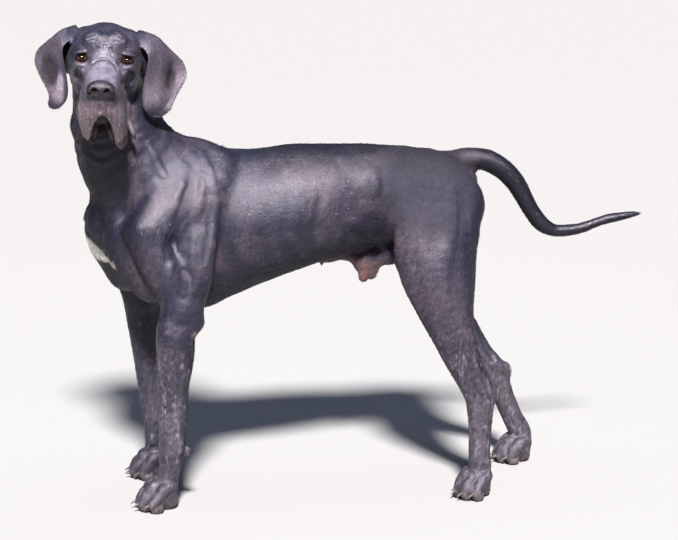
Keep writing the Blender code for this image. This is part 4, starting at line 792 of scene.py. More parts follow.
def line_mark(pts, height, width, ends=0.35, axes=(0, 2), side=None, warp=None, front=None, into=None, frame=None, reach=None):
    """A ridge (or a groove where height is negative) along a line drawn in one of the planes of a frame."""
    L = polyline(pts)
    seg = np.linalg.norm(np.diff(L, axis=0), axis=1)
    s0 = np.concatenate([[0], np.cumsum(seg)])
    total = s0[-1]
    if frame is None:
        height = height * RELIEF
    lo2, hi2 = L.min(0) - 3 * width, L.max(0) + 3 * width

    def fn(P):
        Q = frame(P) if frame else P
        U = Q[:, list(axes)]
        out = np.zeros(len(P))
        on = ((U > lo2) & (U < hi2)).all(1)
        if side is not None:
            on &= Q[:, 1] * side > 0
        if front is not None:
            on &= Q[:, 0] > front
        if not on.any():
            return out
        u = U[on]
        best = np.full(len(u), 1e9)
        at = np.zeros(len(u))
        for i in range(len(seg)):
            a, b = L[i], L[i + 1]
            t = np.clip(((u - a) @ (b - a)) / max(seg[i] ** 2, 1e-12), 0, 1)
            d = ((u - a - t[:, None] * (b - a)) ** 2).sum(1)
            better = d < best
            best = np.where(better, d, best)
            at = np.where(better, s0[i] + t * seg[i], at)
        t = at / total
        fade = step(np.minimum(t, 1 - t), -0.02, ends)
        out[on] = height * fade * np.exp(-best / width ** 2)
        return out

    if frame is face_view:
        c = np.array([[x, y, z + FACE_SLOPE * x] for x in (-0.10, 0.17) for y in (lo2[0], hi2[0]) for z in (lo2[1], hi2[1])])
        w = from_head(c)
        put(fn, w.min(0), w.max(0), 0, 0, None, MARKS)
    elif axes == (0, 2):
        y0, y1 = (-0.26, 0.26) if side is None else ((0, 0.26) if side > 0 else (-0.26, 0))
        sh = 0.09 if warp else 0.0
        put(fn, (lo2[0] - sh, y0, lo2[1]), (hi2[0] + sh, y1, hi2[1]), 0, 0, warp, MARKS)


def face_view(P):
    Q = to_head(P)
    Q[:, 2] -= FACE_SLOPE * Q[:, 0]
    return Q


def both(pts, height, width, ends=0.35, warp=None):
    for s in (-1, 1):
        line_mark(pts, height, width, ends, side=s, warp=warp)


def face(pts, height, width, ends=0.35, front=-0.06, mirror=True):
    """A mark on the face, drawn as (y, height) seen from in front; y > 0 is the dog's left."""
    for s in ((-1, 1) if mirror else (1,)):
        line_mark([(s * y, z) for y, z in pts], height, width, ends, axes=(1, 2), front=front, frame=face_view)


def spot(x, z, rx, rz, height, y_side=None, warp=None):
    """A soft swelling or hollow on the side of the body."""
    for s in ((-1, 1) if y_side is None else (y_side,)):
        def fn(P, s=s):
            return height * np.exp(-((P[:, 0] - x) / rx) ** 2 - ((P[:, 2] - z) / rz) ** 2) * (P[:, 1] * s > 0)
        lo, hi = (x - 2.2 * rx - (0.09 if warp else 0), 0 if s > 0 else -0.26, z - 2.2 * rz), (x + 2.2 * rx + (0.09 if warp else 0), 0.26 if s > 0 else 0, z + 2.2 * rz)
        put(fn, lo, hi, 0, 0, warp, MARKS)


# shoulder and neck, in the frame of the turned front
for s_ in (-1, 1):
    line_mark([(.214, .850), (.188, .797), (.171, .746), (.158, .705)], 0.0045, 0.010, side=s_, warp=turn)
    line_mark([(.236, .845), (.214, .795), (.196, .750), (.186, .712)], -0.0030, 0.010, side=s_, warp=turn)
    line_mark([(.225, .838), (.243, .821), (.257, .781), (.272, .752)], 0.0030, 0.008, side=s_, warp=turn)
    line_mark([(.362, .826), (.368, .790), (.371, .755), (.377, .712), (.380, .670)], 0.0042, 0.0065, side=s_, warp=turn)
    line_mark([(.384, .720), (.388, .680), (.387, .645), (.376, .591), (.358, .540)], -0.0060, 0.0085, side=s_, warp=turn)
    line_mark([(.338, .805), (.323, .748), (.297, .699), (.267, .642), (.248, .581), (.235, .545)], -0.0048, 0.0125, side=s_, warp=turn)
    line_mark([(.318, .785), (.290, .737), (.252, .680), (.240, .640), (.226, .590)], 0.0030, 0.0100, side=s_, warp=turn)
    line_mark([(.352, .770), (.343, .740), (.330, .700), (.318, .668)], 0.0028, 0.0080, side=s_, warp=turn)
    line_mark([(.356, .700), (.350, .650), (.336, .600), (.322, .560)], -0.0022, 0.0080, side=s_, warp=turn)
    line_mark([(.300, .685), (.285, .650), (.272, .615)], 0.0024, 0.0070, side=s_, warp=turn)
    line_mark([(.314, .660), (.308, .620), (.303, .580), (.294, .545)], 0.0024, 0.0075, side=s_, warp=turn)
    line_mark([(.258, .595), (.248, .560), (.240, .530)], 0.0026, 0.0080, side=s_, warp=turn)
    line_mark([(.318, .575), (.312, .540), (.305, .500)], 0.0030, 0.0080, side=s_, warp=turn)
    line_mark([(.290, .575), (.284, .535), (.274, .492)], -0.0048, 0.0105, side=s_, warp=turn)
    line_mark([(.192, .680), (.176, .645), (.152, .622)], 0.0026, 0.0090, side=s_, warp=turn)
spot(.165, .665, .020, .026, -0.0060, None, turn)
spot(.232, .672, .030, .030, 0.0030, None, turn)
# ribs, last rib, hip bone, flank
for i_ in range(7):
    x_ = 0.435 + 0.043 * i_
    both([(x_ + 0.018, .745), (x_ + 0.006, .700), (x_ - 0.004, .655), (x_ - 0.022, .605), (x_ - 0.048, .560)], -0.0009, 0.0100, 0.4)
both([(.648, .735), (.640, .700), (.628, .650), (.612, .600)], -0.0024, 0.0085)
both([(.665, .730), (.657, .695), (.645, .650)], 0.0012, 0.0090)
spot(.768, .738, .020, .026, 0.0040)
spot(.800, .720, .018, .060, -0.0040)
spot(.748, .682, .032, .022, -0.0060)
both([(.700, .652), (.722, .654), (.754, .643), (.782, .620), (.804, .592), (.820, .560)], 0.0070, 0.0085, 0.25)
both([(.716, .670), (.742, .664), (.770, .646), (.796, .618)], -0.0045, 0.0080)
both([(.700, .632), (.740, .622), (.770, .598), (.792, .566)], -0.0030, 0.0090)
# thigh
both([(.950, .745), (.946, .690), (.942, .640), (.930, .590), (.920, .540), (.922, .490), (.932, .430)], 0.0036, 0.0110, 0.2)
both([(.968, .700), (.972, .650), (.968, .600), (.960, .550), (.962, .500), (.970, .440)], -0.0042, 0.0120, 0.25)
both([(.910, .715), (.905, .670), (.900, .610), (.895, .560)], -0.0024, 0.0140)
both([(.868, .660), (.866, .620), (.872, .560), (.884, .500), (.896, .440)], 0.0022, 0.0110)
# hind legs: lines drawn beside each leg's own middle
HIND_MIDDLE = {-1: [(1.014, .05), (1.014, .11), (1.015, .16), (1.015, .20), (1.014, .24), (.996, .285), (.974, .33), (.954, .38), (.939, .43), (.925, .48), (.914, .535)],
               1: [(1.184, .05), (1.163, .112), (1.142, .16), (1.127, .20), (1.110, .236), (1.076, .275), (1.040, .325), (1.008, .375), (.984, .43), (.962, .48), (.944, .535)]}
FORE_MIDDLE = {-1: [(.290, .055), (.296, .085), (.303, .15), (.306, .24), (.309, .30), (.314, .36), (.315, .42), (.328, .47)],
               1: [(.277, .055), (.281, .08), (.284, .145), (.276, .24), (.272, .30), (.268, .36), (.262, .42), (.258, .47)]}


def leg_mark(table, offsets, height, width, ends=0.3, outer=True):
    """offsets: (distance behind the leg's middle, height above the floor)."""
    for s in (-1, 1):
        mid = np.array(table[s])
        o = mid[np.argsort(mid[:, 1])]
        pts = [(np.interp(z, o[:, 1], o[:, 0]) + dx, z) for dx, z in offsets]
        y_mid = 0.125 * s
        L = polyline(pts)
        lo2, hi2 = L.min(0) - 3 * width, L.max(0) + 3 * width
        seg = np.linalg.norm(np.diff(L, axis=0), axis=1)
        s0 = np.concatenate([[0], np.cumsum(seg)])

        def fn(P, L=L, seg=seg, s0=s0, s=s, y_mid=y_mid):
            u = P[:, [0, 2]]
            best = np.full(len(u), 1e9)
            at = np.zeros(len(u))
            for i in range(len(seg)):
                a, b = L[i], L[i + 1]
                t = np.clip(((u - a) @ (b - a)) / seg[i] ** 2, 0, 1)
                d = ((u - a - t[:, None] * (b - a)) ** 2).sum(1)
                better = d < best
                best = np.where(better, d, best)
                at = np.where(better, s0[i] + t * seg[i], at)
            t = at / s0[-1]
            keep = step((P[:, 1] - y_mid) * s * (1 if outer else -1), -0.006, 0.004)
            return height * keep * step(np.minimum(t, 1 - t), -0.02, ends) * np.exp(-best / width ** 2)

        put(fn, (lo2[0], min(0.04 * s, 0.25 * s), lo2[1]), (hi2[0], max(0.04 * s, 0.25 * s), hi2[1]), 0, 0, None, MARKS)


for outer_ in (True, False):
    leg_mark(HIND_MIDDLE, [(.036, .450), (.042, .420), (.034, .355), (.020, .305), (.012, .263)], 0.0030, 0.0048, outer=outer_)
    leg_mark(HIND_MIDDLE, [(.022, .420), (.012, .373), (.010, .327), (.004, .277)], -0.0036, 0.0060, outer=outer_)
    leg_mark(HIND_MIDDLE, [(.014, .370), (-.002, .332), (-.004, .302), (-.020, .262)], 0.0022, 0.0032, outer=outer_)
    leg_mark(HIND_MIDDLE, [(-.002, .300), (.002, .262), (.003, .234)], 0.0022, 0.0034, outer=outer_)
    leg_mark(HIND_MIDDLE, [(.024, .300), (.022, .268), (.020, .240)], -0.0026, 0.0050, outer=outer_)
    leg_mark(HIND_MIDDLE, [(.008, .262), (.014, .245), (.010, .226)], 0.0026, 0.0050, outer=outer_)
    leg_mark(HIND_MIDDLE, [(.006, .225), (.004, .180), (.002, .120)], -0.0012, 0.0060, outer=outer_)
    leg_mark(FORE_MIDDLE, [(.020, .365), (.022, .345), (.020, .297), (.015, .244), (.013, .190), (.010, .150)], 0.0022, 0.0036, outer=outer_)
    leg_mark(FORE_MIDDLE, [(.010, .345), (.008, .300), (.006, .230), (.004, .180)], -0.0022, 0.0052, outer=outer_)
    leg_mark(FORE_MIDDLE, [(-.012, .420), (-.014, .360), (-.012, .300)], 0.0014, 0.0075, outer=outer_)
leg_mark(FORE_MIDDLE, [(-.008, .436), (.010, .440), (.026, .425), (.030, .400)], -0.0032, 0.0065)
leg_mark(FORE_MIDDLE, [(.030, .424), (.034, .416), (.034, .408)], 0.0022, 0.0060)

# throat and neck: loose folds across the front
for z0_, dz_ in ((0.862, 0.0), (0.838, -0.004), (0.812, -0.006)):
    line_mark([(0.095, z0_ + 0.022), (0.125, z0_), (0.165, z0_ - 0.012 + dz_), (0.200, z0_ + 0.006), (0.225, z0_ + 0.030)], 0.0011, 0.0060)
    line_mark([(0.095, z0_ + 0.012), (0.125, z0_ - 0.010), (0.165, z0_ - 0.022 + dz_), (0.200, z0_ - 0.004)], -0.0009, 0.0050)

# face: brow mounds, folds over them, furrow, bridge crease, folds below the eyes
face([(.0445, .0230), (.0405, .0322), (.0300, .0362), (.0180, .0345), (.0105, .0255)], 0.0010, 0.0036, 0.2)
face([(.0410, .0385), (.0310, .0440), (.0200, .0455), (.0090, .0415)], -0.0018, 0.0050, 0.2)
face([(.0465, .0335), (.0390, .0455), (.0290, .0548), (.0185, .0625), (.0085, .0650)], 0.0024, 0.0050, 0.2)
face([(0, .0580), (0, .0446), (0, .0350)], 0.0018, 0.0040, 0.2, mirror=False)
face([(0, .0330), (0, .0243), (.0004, .0150)], -0.0024, 0.0038, 0.2, mirror=False)
face([(.0055, .0630), (.0068, .0570)], -0.0020, 0.0030, 0.05)
face([(.0105, .0265), (.0130, .0160), (.0165, .0060)], -0.0020, 0.0040, 0.2)
face([(.0433, .0144), (.0571, .0159), (.0662, .0106)], -0.0016, 0.0040, 0.2)
face([(.0380, .0095), (.0470, .0150), (.0585, .0110), (.0690, .0000)], 0.0010, 0.0024, 0.2)
face([(.0415, -.0155), (.0500, -.0180), (.0600, -.0142), (.0690, -.0090)], 0.0015, 0.0028, 0.2)
face([(.0400, -.0225), (.0500, -.0245), (.0600, -.0215)], -0.0015, 0.0034, 0.2)
# the crease across the bridge, and the soft rolls above and below it
face([(0, -.0022), (.0085, -.0040), (.0150, -.0078), (.0240, -.0153), (.0290, -.0250)], -0.0027, 0.0034, 0.02)
face([(0, .0062), (.0090, .0035), (.0170, -.0010), (.0245, -.0058)], 0.0016, 0.0046, 0.02)
face([(0, -.0098), (.0085, -.0115), (.0200, -.0190), (.0305, -.0340)], 0.0013, 0.0050, 0.02)
face([(0, -.0400), (.0100, -.0425), (.0185, -.0448)], -0.0009, 0.0030, 0.1)
face([(.0600, -.0225), (.0545, -.0370), (.0500, -.0550), (.0490, -.0740)], -0.0028, 0.0052, 0.2)
face([(.0430, -.0265), (.0452, -.0410), (.0478, -.0556)], 0.0017, 0.0042, 0.2)
face([(.0690, -.0215), (.0640, -.0430), (.0600, -.0640)], 0.0016, 0.0060, 0.2)
face([(.0740, -.0300), (.0710, -.0550), (.0640, -.0800)], -0.0016, 0.0060, 0.2)
# the furrow from the nose down to the lip
face([(0, -.0867), (0, -.1000), (0, -.1199)], -0.0015, 0.0018, 0.1, front=0.12, mirror=False)
# lips: soft vertical folds
for i_ in range(7):
    a_ = 0.008 + 0.0055 * i_
    face([(a_, -.094 - .002 * i_), (a_ + .0015, -.112 - .003 * i_), (a_ + .0008, -.134 - .004 * i_)], -0.0007 if i_ % 2 else 0.0007, 0.0020, 0.3, front=0.05)


# the knuckles of the toes
for name_, tip_, f_, size_ in CLAWS:
    if "dewclaw" in name_:
        continue
    for back_, up_, r_, h_ in ((0.033, 0.040, 0.0095, 0.0024), (0.0225, 0.032, 0.0065, -0.0024), (0.014, 0.021, 0.0065, 0.0015), (0.050, 0.042, 0.008, -0.0018)):
        c_ = np.array(tip_) - np.array(f_) * back_ * size_ + vec(0, 0, up_ * size_)

        def toe(P, c=c_, r=r_, h=h_):
            return h * np.exp(-(((P - c) / r) ** 2).sum(1))

        put(toe, c_ - 2.5 * r_, c_ + 2.5 * r_, 0, 0, None, MARKS)


def wave(P, s, seed):
    """Smooth soft patches of about the size s, between about -1 and 1."""
    q = P / s
    r = np.random.default_rng(seed)
    out = np.zeros(len(P))
    for _ in range(9):
        k = r.normal(size=3) * 1.9
        out += np.sin(q @ k + r.uniform(0, 6.28) + 0.8 * np.sin(q[:, (_ + 1) % 3] * 0.9 + _))
    return out / 9 ** 0.5 * 0.75


def above_neck(P):
    return (P - vec(NECK_CUT)) @ vec(NECK_CUT_N)


def loose(P):
    """The small unevenness of a living coat."""
    w = step(P[:, 2], 0.16, 0.30) * (1 - 0.65 * step(above_neck(P), -0.05, 0.0))
    return (0.0008 * wave(P, 0.045, 11) + 0.0003 * wave(P, 0.016, 12)) * w


put(loose, (-0.05, -0.3, 0.0), (1.5, 0.3, 1.2), 0, 0, None, MARKS)

# ------------------------------------------------------------------ the ears again, thicker for the grid
EAR_FNS = {p[4] for p in PARTS[-7:-5]}
THICK_EARS = []
for n_ in EARS:
    keep_, PARTS_ = EAR_THICK, len(PARTS)
    EAR_THICK = keep_ + 0.0018
    ear_part(n_)
    EAR_THICK = keep_
    THICK_EARS.append(PARTS.pop())



# ------------------------------------------------------------------ the skin lies below the outside of the coat
COAT_BODY, COAT_HEAD, COAT_FEET, COAT_TAIL = 0.0022, 0.0011, 0.0009, 0.0016


def depth(P):
    """How far the skin lies below the outside of the coat."""
    z = P[:, 2]
    d = np.full(len(P), COAT_BODY)
    d = d + (COAT_HEAD - d) * step(above_neck(P), -0.06, 0.02)
    d = d + (COAT_FEET - d) * step(-z, -0.30, -0.08)
    d = d + (COAT_TAIL - d) * step(P[:, 0], 1.05, 1.12) * step(z, 0.5, 0.58)
    return d


def values(P, parts, size=0.07):
    out = np.empty(len(P))
    for on in block_order(P, size):
        Q = P[on]
        lo, hi = Q.min(0), Q.max(0)
        near = [p for p in parts if (p[0] - p[2] - 0.022 < hi).all() and (p[1] + p[2] + 0.022 > lo).all()]
        out[on] = evaluate(Q, near) if near else FAR
    return out


def finer(D0, lo, H, parts):
    """The same field on a grid of half the step, worked out only near the surface."""
    n0 = np.array(D0.shape)
    A = np.abs(D0)
    m = np.full(n0 - 1, 9.0, np.float32)
    for c in CORNERS:
        m = np.minimum(m, A[c[0]:n0[0] - 1 + c[0], c[1]:n0[1] - 1 + c[1], c[2]:n0[2] - 1 + c[2]])
    live = m < 1.25 * H
    n1 = 2 * n0 - 1
    D1 = np.repeat(np.repeat(np.repeat(D0, 2, 0), 2, 1), 2, 2)[:n1[0], :n1[1], :n1[2]].copy()
    want = np.zeros(n1, bool)
    for i in range(3):
        for j in range(3):
            for k in range(3):
                want[i:i + 2 * live.shape[0]:2, j:j + 2 * live.shape[1]:2, k:k + 2 * live.shape[2]:2] |= live
    want[::2, ::2, ::2] = False
    at = np.argwhere(want)
    D1[want] = values(lo + at * (H / 2), parts)
    return D1


def settle_to(P, parts, rounds, most):
    for _ in range(rounds):
        f, g = value_and_slope(P, parts)
        n2 = np.maximum((g * g).sum(1), 0.04)
        m = ((f + depth(P)) / n2)[:, None] * g
        L = np.linalg.norm(m, axis=1, keepdims=True)
        P = P - m * np.minimum(1.0, most / np.maximum(L, 1e-12))
    return P


def split_some(P, Q, chosen):
    """Each chosen four-sided face into four. Returns points, four-sided faces, and the many-sided faces round them."""
    e = np.stack([Q, np.roll(Q, -1, 1)], -1).reshape(-1, 2)
    s = np.sort(e, 1)
    key = s[:, 0].astype(np.int64) * (len(P) + 1) + s[:, 1]
    _, first, inv = np.unique(key, return_index=True, return_inverse=True)
    inv = inv.reshape(-1, 4)
    cutting = np.zeros(len(first), bool)
    cutting[inv[chosen].ravel()] = True
    new = np.full(len(first), -1)
    new[cutting] = len(P) + np.arange(cutting.sum())
    mids = (P[s[first[cutting], 0]] + P[s[first[cutting], 1]]) / 2
    Qc = Q[chosen]
    C = np.arange(len(Qc)) + len(P) + len(mids)
    M = new[inv[chosen]]
    quads = [np.stack([Qc[:, i], M[:, i], C, M[:, i - 1]], 1) for i in range(4)]
    rest = ~chosen
    touched = rest & cutting[inv].any(1)
    quads.append(Q[rest & ~touched])
    odd = []
    for q, ed in zip(Q[touched].tolist(), inv[touched].tolist()):
        f = []
        for v, k in zip(q, ed):
            f.append(v)
            if new[k] >= 0:
                f.append(int(new[k]))
        odd.append(f)
    return np.concatenate([P, mids, P[Qc].mean(1)]), np.concatenate(quads), odd


def fast_mesh(name, P, F, odd=()):
    """A mesh from arrays: F has faces of one size, odd is a list of others."""
    me = bpy.data.meshes.new(name)
    n, k = F.shape
    loops = [np.ascontiguousarray(F, np.int32).ravel()] + [np.array(f, np.int32) for f in odd]
    starts = np.concatenate([np.arange(0, n * k, k), n * k + np.cumsum([0] + [len(f) for f in odd])[:-1]]) if len(odd) else np.arange(0, n * k, k)
    loops = np.concatenate(loops)
    me.vertices.add(len(P))
    me.vertices.foreach_set("co", np.ascontiguousarray(P, np.float32).ravel())
    me.loops.add(len(loops))
    me.loops.foreach_set("vertex_index", loops)
    me.polygons.add(n + len(odd))
    me.polygons.foreach_set("loop_start", starts.astype(np.int32))
    me.update(calc_edges=True)
    me.polygons.foreach_set("use_smooth", np.ones(n + len(odd), bool))
    return me


def put_object(name, me, *mats):
    ob = bpy.data.objects.new(name, me)
    bpy.context.scene.collection.objects.link(ob)
    for m in mats:
        me.materials.append(m)
    return ob


def colour_layer(me, name, C):
    a = me.color_attributes.new(name, 'FLOAT_COLOR', 'POINT')
    a.data.foreach_set("color", np.ascontiguousarray(np.concatenate([C, np.ones((len(C), 1))], 1), np.float32).ravel())


def value_layer(me, name, V):
    a = me.attributes.new(name, 'FLOAT', 'POINT')
    a.data.foreach_set("value", np.ascontiguousarray(V, np.float32))


SHIFT = vec(ORIGIN[0], ORIGIN[1], 0)
FORM = BODY + [p for p in PARTS if p[4] in EAR_FNS]
THICK_FORM = BODY + THICK_EARS
ALL = FORM + MARKS


def head_zone(C):
    """The head, the ears, the lower legs and the paws: meshed twice as finely as the rest."""
    L = to_head(C)
    head = (L[:, 0] > -0.20) & (np.abs(L[:, 1]) < 0.21) & (L[:, 2] > -0.19) & (above_neck(C) > -0.055)
    return head | (C[:, 2] < 0.43)


def fine_zone(C):
    """The face: finer again."""
    L = to_head(C)
    return (L[:, 0] > -0.030) & (np.abs(L[:, 1]) < 0.075) & (L[:, 2] - FACE_SLOPE * L[:, 0] < 0.062) & (L[:, 2] > -0.175) & (above_neck(C) > 0)


def make_skin():
    h = 0.0045
    lo = np.array([-0.02, -0.345, -0.022])
    hi = np.array([1.47, 0.235, 1.135])
    D = field_grid(THICK_FORM, lo, hi, 4 * h)
    D = finer(D, lo, 4 * h, THICK_FORM)
    D = finer(D, lo, 2 * h, THICK_FORM)
    P, Q = nets(D, lo, h)
    P = settle_to(P, FORM, 2, 0.0028)
    P, Q, odd = split_some(P, Q, head_zone(P[Q].mean(1)))
    P = settle_to(P, ALL, 1, 0.0014)
    P, Q, odd2 = split_some(P, Q, fine_zone(P[Q].mean(1)))
    odd = odd + odd2
    P = settle_to(P, ALL, 1, 0.0008)
    P[:, 2] = np.maximum(P[:, 2], 0.0002)
    return P, Q, odd


# ------------------------------------------------------------------ markings and painted light and shade, shared by skin and coat
BLACK = vec(0.010, 0.010, 0.020)


def lerp(C, c, w):
    return C + (np.asarray(c, float) - C) * w[:, None]


def blob(Q, c, r):
    """1 in the middle of a soft ellipsoid, 0 outside it."""
    return 1 - step(np.linalg.norm((Q - np.asarray(c, float)) / np.asarray(r, float), axis=1), 0.55, 1.0)


def markings_and_painted_light(P):
    """Colour with its painted light and shade, roughness and how bare the skin is, at points of the surface."""
    L = to_head(P)
    F = face_view(P)
    z = P[:, 2]
    C = np.tile(BLACK, (len(P), 1))
    R = np.full(len(P), 0.365)
    bare = np.zeros(len(P))
    head = step(above_neck(P), -0.015, 0.02)
    ay = np.abs(L[:, 1])
    T = turn(P)
    # soft brownish and bluish patches of the coat
    w = wave(P * [1, 1, 0.55], 0.055, 3)
    C = lerp(C, (0.033, 0.025, 0.036), step(w, -0.3, 0.9) * 0.9)
    C = lerp(C, (0.008, 0.010, 0.020), step(-w, 0.0, 0.9) * 0.8)
    C = lerp(C, (0.052, 0.042, 0.058), step(wave(P * [1, 1, 0.6], 0.026, 7), 0.1, 1.1) * 0.5)
    # painted shade: the coat is darkened below the jaw on the near side of the neck, along the back, on the haunch, the
    # rear of the thigh, under the ribs, in the flank fold, on the tail and on the front of the chest, where shade falls
    painted_shade = np.maximum.reduce([
        blob(P * [1, 0, 1], (0.262, 0, 0.880), (0.036, 1, 0.075)) * (P[:, 1] < 0),
        blob(P * [1, 0, 1], (0.900, 0, 0.730), (0.150, 1, 0.150)),
        0.7 * step(z, 0.790, 0.815) * step(P[:, 0], 0.35, 0.45),
        blob(P * [1, 0, 1], (1.010, 0, 0.560), (0.055, 1, 0.200)),
        blob(P * [1, 0, 1], (0.560, 0, 0.520), (0.300, 1, 0.050)),
        blob(P * [1, 0, 1], (0.770, 0, 0.640), (0.060, 1, 0.050)),
        step(P[:, 0], 1.00, 1.05) * step(z, 0.52, 0.58),
        step(-T[:, 0], -0.215, -0.150) * step(z, 0.45, 0.52) * step(-z, -0.80, -0.70)])
    C = lerp(C * 0.58, (0.004, 0.004, 0.009), painted_shade * 0.9)
    haunch = blob(P * [1, 0, 1], (0.900, 0, 0.730), (0.150, 1, 0.150))
    R = R - 0.11 * painted_shade * (1 - haunch) + 0.30 * haunch
    # belly, groin and the inner sides of the thighs are thinner haired and browner
    belly = step(-P[:, 2] + 0.56, 0, 0.05) * step(P[:, 0], 0.60, 0.68) * step(-P[:, 0], -0.90, -0.84) * (np.abs(P[:, 1]) < 0.06) * step(P[:, 2], 0.44, 0.46)
    C = lerp(C, (0.060, 0.036, 0.034), belly * 0.9)
    sheath = blob(P, (0.712, 0, 0.548), (0.090, 0.028, 0.022)) + blob(P, (0.764, -0.004, 0.512), (0.026, 0.022, 0.040))
    C = lerp(C, (0.046, 0.022, 0.021), np.minimum(sheath, 1) * (0.75 + 0.25 * wave(P, 0.01, 9)))
    bare = np.maximum(bare, np.minimum(sheath, 1) * 0.8)
    # under the root of the tail
    C = lerp(C, (0.28, 0.10, 0.075), blob(P, (1.020, 0, 0.732), (0.016, 0.014, 0.020)))
    # white patch on the breast
    a, b_ = vec(0.086, 0.618), vec(0.196, 0.548)
    q = np.stack([P[:, 0], z], 1) - a
    along = (q @ (b_ - a)) / ((b_ - a) @ (b_ - a))
    off = q[:, 0] * (b_ - a)[1] - q[:, 1] * (b_ - a)[0]
    off = np.abs(off) / np.linalg.norm(b_ - a)
    half = 0.019 * np.sqrt(np.clip(1 - ((along - 0.36) / 0.54) ** 2, 0, 1))
    white = step(half - off + 0.003 * wave(P, 0.007, 5), 0.0, 0.004) * (half > 0.002) * (P[:, 0] < 0.21) * step(-P[:, 1], -0.10, -0.06)
    C = lerp(C, (0.72, 0.69, 0.62), white)
    R = np.where(white > 0.5, 0.6, R)
    # legs: a little paler and bluer in front, brown at the toes
    C = lerp(C, (0.040, 0.037, 0.047), step(-z, -0.42, -0.20) * 0.55)
    leg = step(-z, -0.46, -0.30)
    C = lerp(C, (0.010, 0.008, 0.012), leg * step(wave(P, 0.010, 51), 0.1, 0.8) * 0.65)
    C = lerp(C, (0.088, 0.074, 0.098), leg * step(wave(P * [1, 1, 0.5], 0.007, 52), 0.3, 1.0) * 0.55)
    # painted shade on the far fore leg
    C = lerp(C, (0.006, 0.006, 0.012), leg * (P[:, 1] > 0.07) * (P[:, 0] < 0.45) * 0.6)
    C = lerp(C, (0.046, 0.036, 0.036), step(-z, -0.034, -0.010) * 0.7)
    C = C * (1 + 0.40 * np.clip(wave(P, 0.0055, 53), -1, 1))[:, None]
    C = lerp(C, (0.030, 0.026, 0.026), (z < 0.006) * 0.9)
    R = R + 0.12 * step(-z, -0.3, -0.05)
    # callus at the elbow and the hock
    for c, r in (((0.352, -0.138, 0.420), (0.014, 0.016, 0.018)), ((0.300, 0.142, 0.425), (0.014, 0.016, 0.018)), ((1.062, -0.136, 0.246), (0.012, 0.016, 0.022)),
                 ((1.160, 0.110, 0.236), (0.014, 0.018, 0.026))):
        C = lerp(C, (0.20, 0.155, 0.135), blob(P, c, r) * (0.65 + 0.35 * wave(P, 0.006, 13)))
    C = lerp(C, (0.21, 0.170, 0.155), blob(P, (1.222, 0.110, 0.055), (0.022, 0.030, 0.055)) * 0.8)
    # ---- head
    # the bridge of the muzzle is paler: greying short hair, and painted highlight where its top faces the light
    C = lerp(C, (0.078, 0.070, 0.094), head * step(L[:, 0], -0.005, 0.03) * step(L[:, 2], -0.050, -0.015) * (0.75 + 0.25 * wave(P, 0.012, 41)))            # bridge of the muzzle
    # painted highlight: a paler band across the brow and the glabella
    C = lerp(C, (0.060, 0.054, 0.072), head * blob(F, (0, 0, 0.008), (0.08, 0.020, 0.016)) * 0.9)
    # painted shadow: the throat under the jaw is painted near black
    throat = blob(L, (-0.030, 0, -0.205), (0.090, 0.070, 0.075)) * (1 - head * 0)
    C = lerp(C, (0.004, 0.004, 0.006), throat * 0.9)
    flew = head * step(L[:, 0], 0.00, 0.06) * step(-L[:, 2], 0.035, 0.100)
    C = lerp(C, (0.066, 0.046, 0.058), flew * (0.75 + 0.25 * wave(P, 0.011, 43)))
    # painted shade: the crease across the bridge and the hollows beside it are darkened
    fy = np.abs(F[:, 1])
    crease = np.interp(fy, [0, .0085, .0150, .0240, .0290, .0320], [-.0030, -.0048, -.0086, -.0161, -.0258, -.0400])
    on = head * np.exp(-((F[:, 2] - crease) / 0.0024) ** 2) * (fy < 0.032) * (L[:, 0] > -0.02)
    C = lerp(C, (0.006, 0.005, 0.007), on * 0.9)
    R = R + 0.25 * on
    hollow = np.maximum.reduce([blob(F * [0, 1, 1], (0, s * 0.0300, c), (1, 0.0075, r)) for s in (-1, 1) for c, r in ((-0.006, 0.013), (0.030, 0.010))])
    C = lerp(C, (0.012, 0.011, 0.017), hollow * head * 0.8)
    # painted shade darkens the forehead, and painted light makes the cheeks a little paler
    C = lerp(C, (0.010, 0.010, 0.018), head * step(F[:, 2], 0.012, 0.030) * (L[:, 0] > -0.09) * step(fy, 0.000, 0.022) * 0.40)
    R = R - 0.06 * head * step(F[:, 2], 0.012, 0.030)
    C = lerp(C, (0.062, 0.054, 0.076), head * (np.abs(L[:, 0]) < 0.055) * step(-np.abs(ay - 0.058), -0.020, -0.010) * step(-np.abs(F[:, 2] + 0.055), -0.045, -0.025) * (0.6 + 0.4 * wave(P, 0.009, 61)) * 0.8)
    # the fold at the corner of the mouth is paler
    C = lerp(C, (0.10, 0.086, 0.105), blob(L, (0.022, 0.064, -0.147), (0.022, 0.012, 0.032)))
    # grizzled hair beside the mouth
    rim = head * step(L[:, 0], 0.075, 0.120) * step(-F[:, 2], 0.080, 0.125) * (ay < 0.048)
    C = lerp(C, (0.075, 0.054, 0.062), rim * 0.6)
    # painted shade: inside the lips and the mouth is painted near black and matte
    inside = head * (L[:, 0] < 0.150) * (L[:, 2] < -0.075) * (ay < np.interp(L[:, 0], [0.0, 0.09, 0.12, 0.14], [0.040, 0.036, 0.026, 0.008]) - 0.002) * (L[:, 0] > -0.02)
    C = lerp(C, (0.003, 0.002, 0.002), inside * 0.98)
    R = R + (0.85 - R) * inside
    for y_, z_ in ((-0.0135, -0.130), (0.0235, -0.132)):
        C = lerp(C, (0.060, 0.036, 0.030), blob(L, (0.098, y_, z_), (0.018, 0.0105, 0.028)) * 0.9)
    chin = blob(L, (0.122, 0, -0.097), (0.014, 0.020, 0.014))
    C = lerp(C, (0.060, 0.045, 0.040), chin * 0.8)
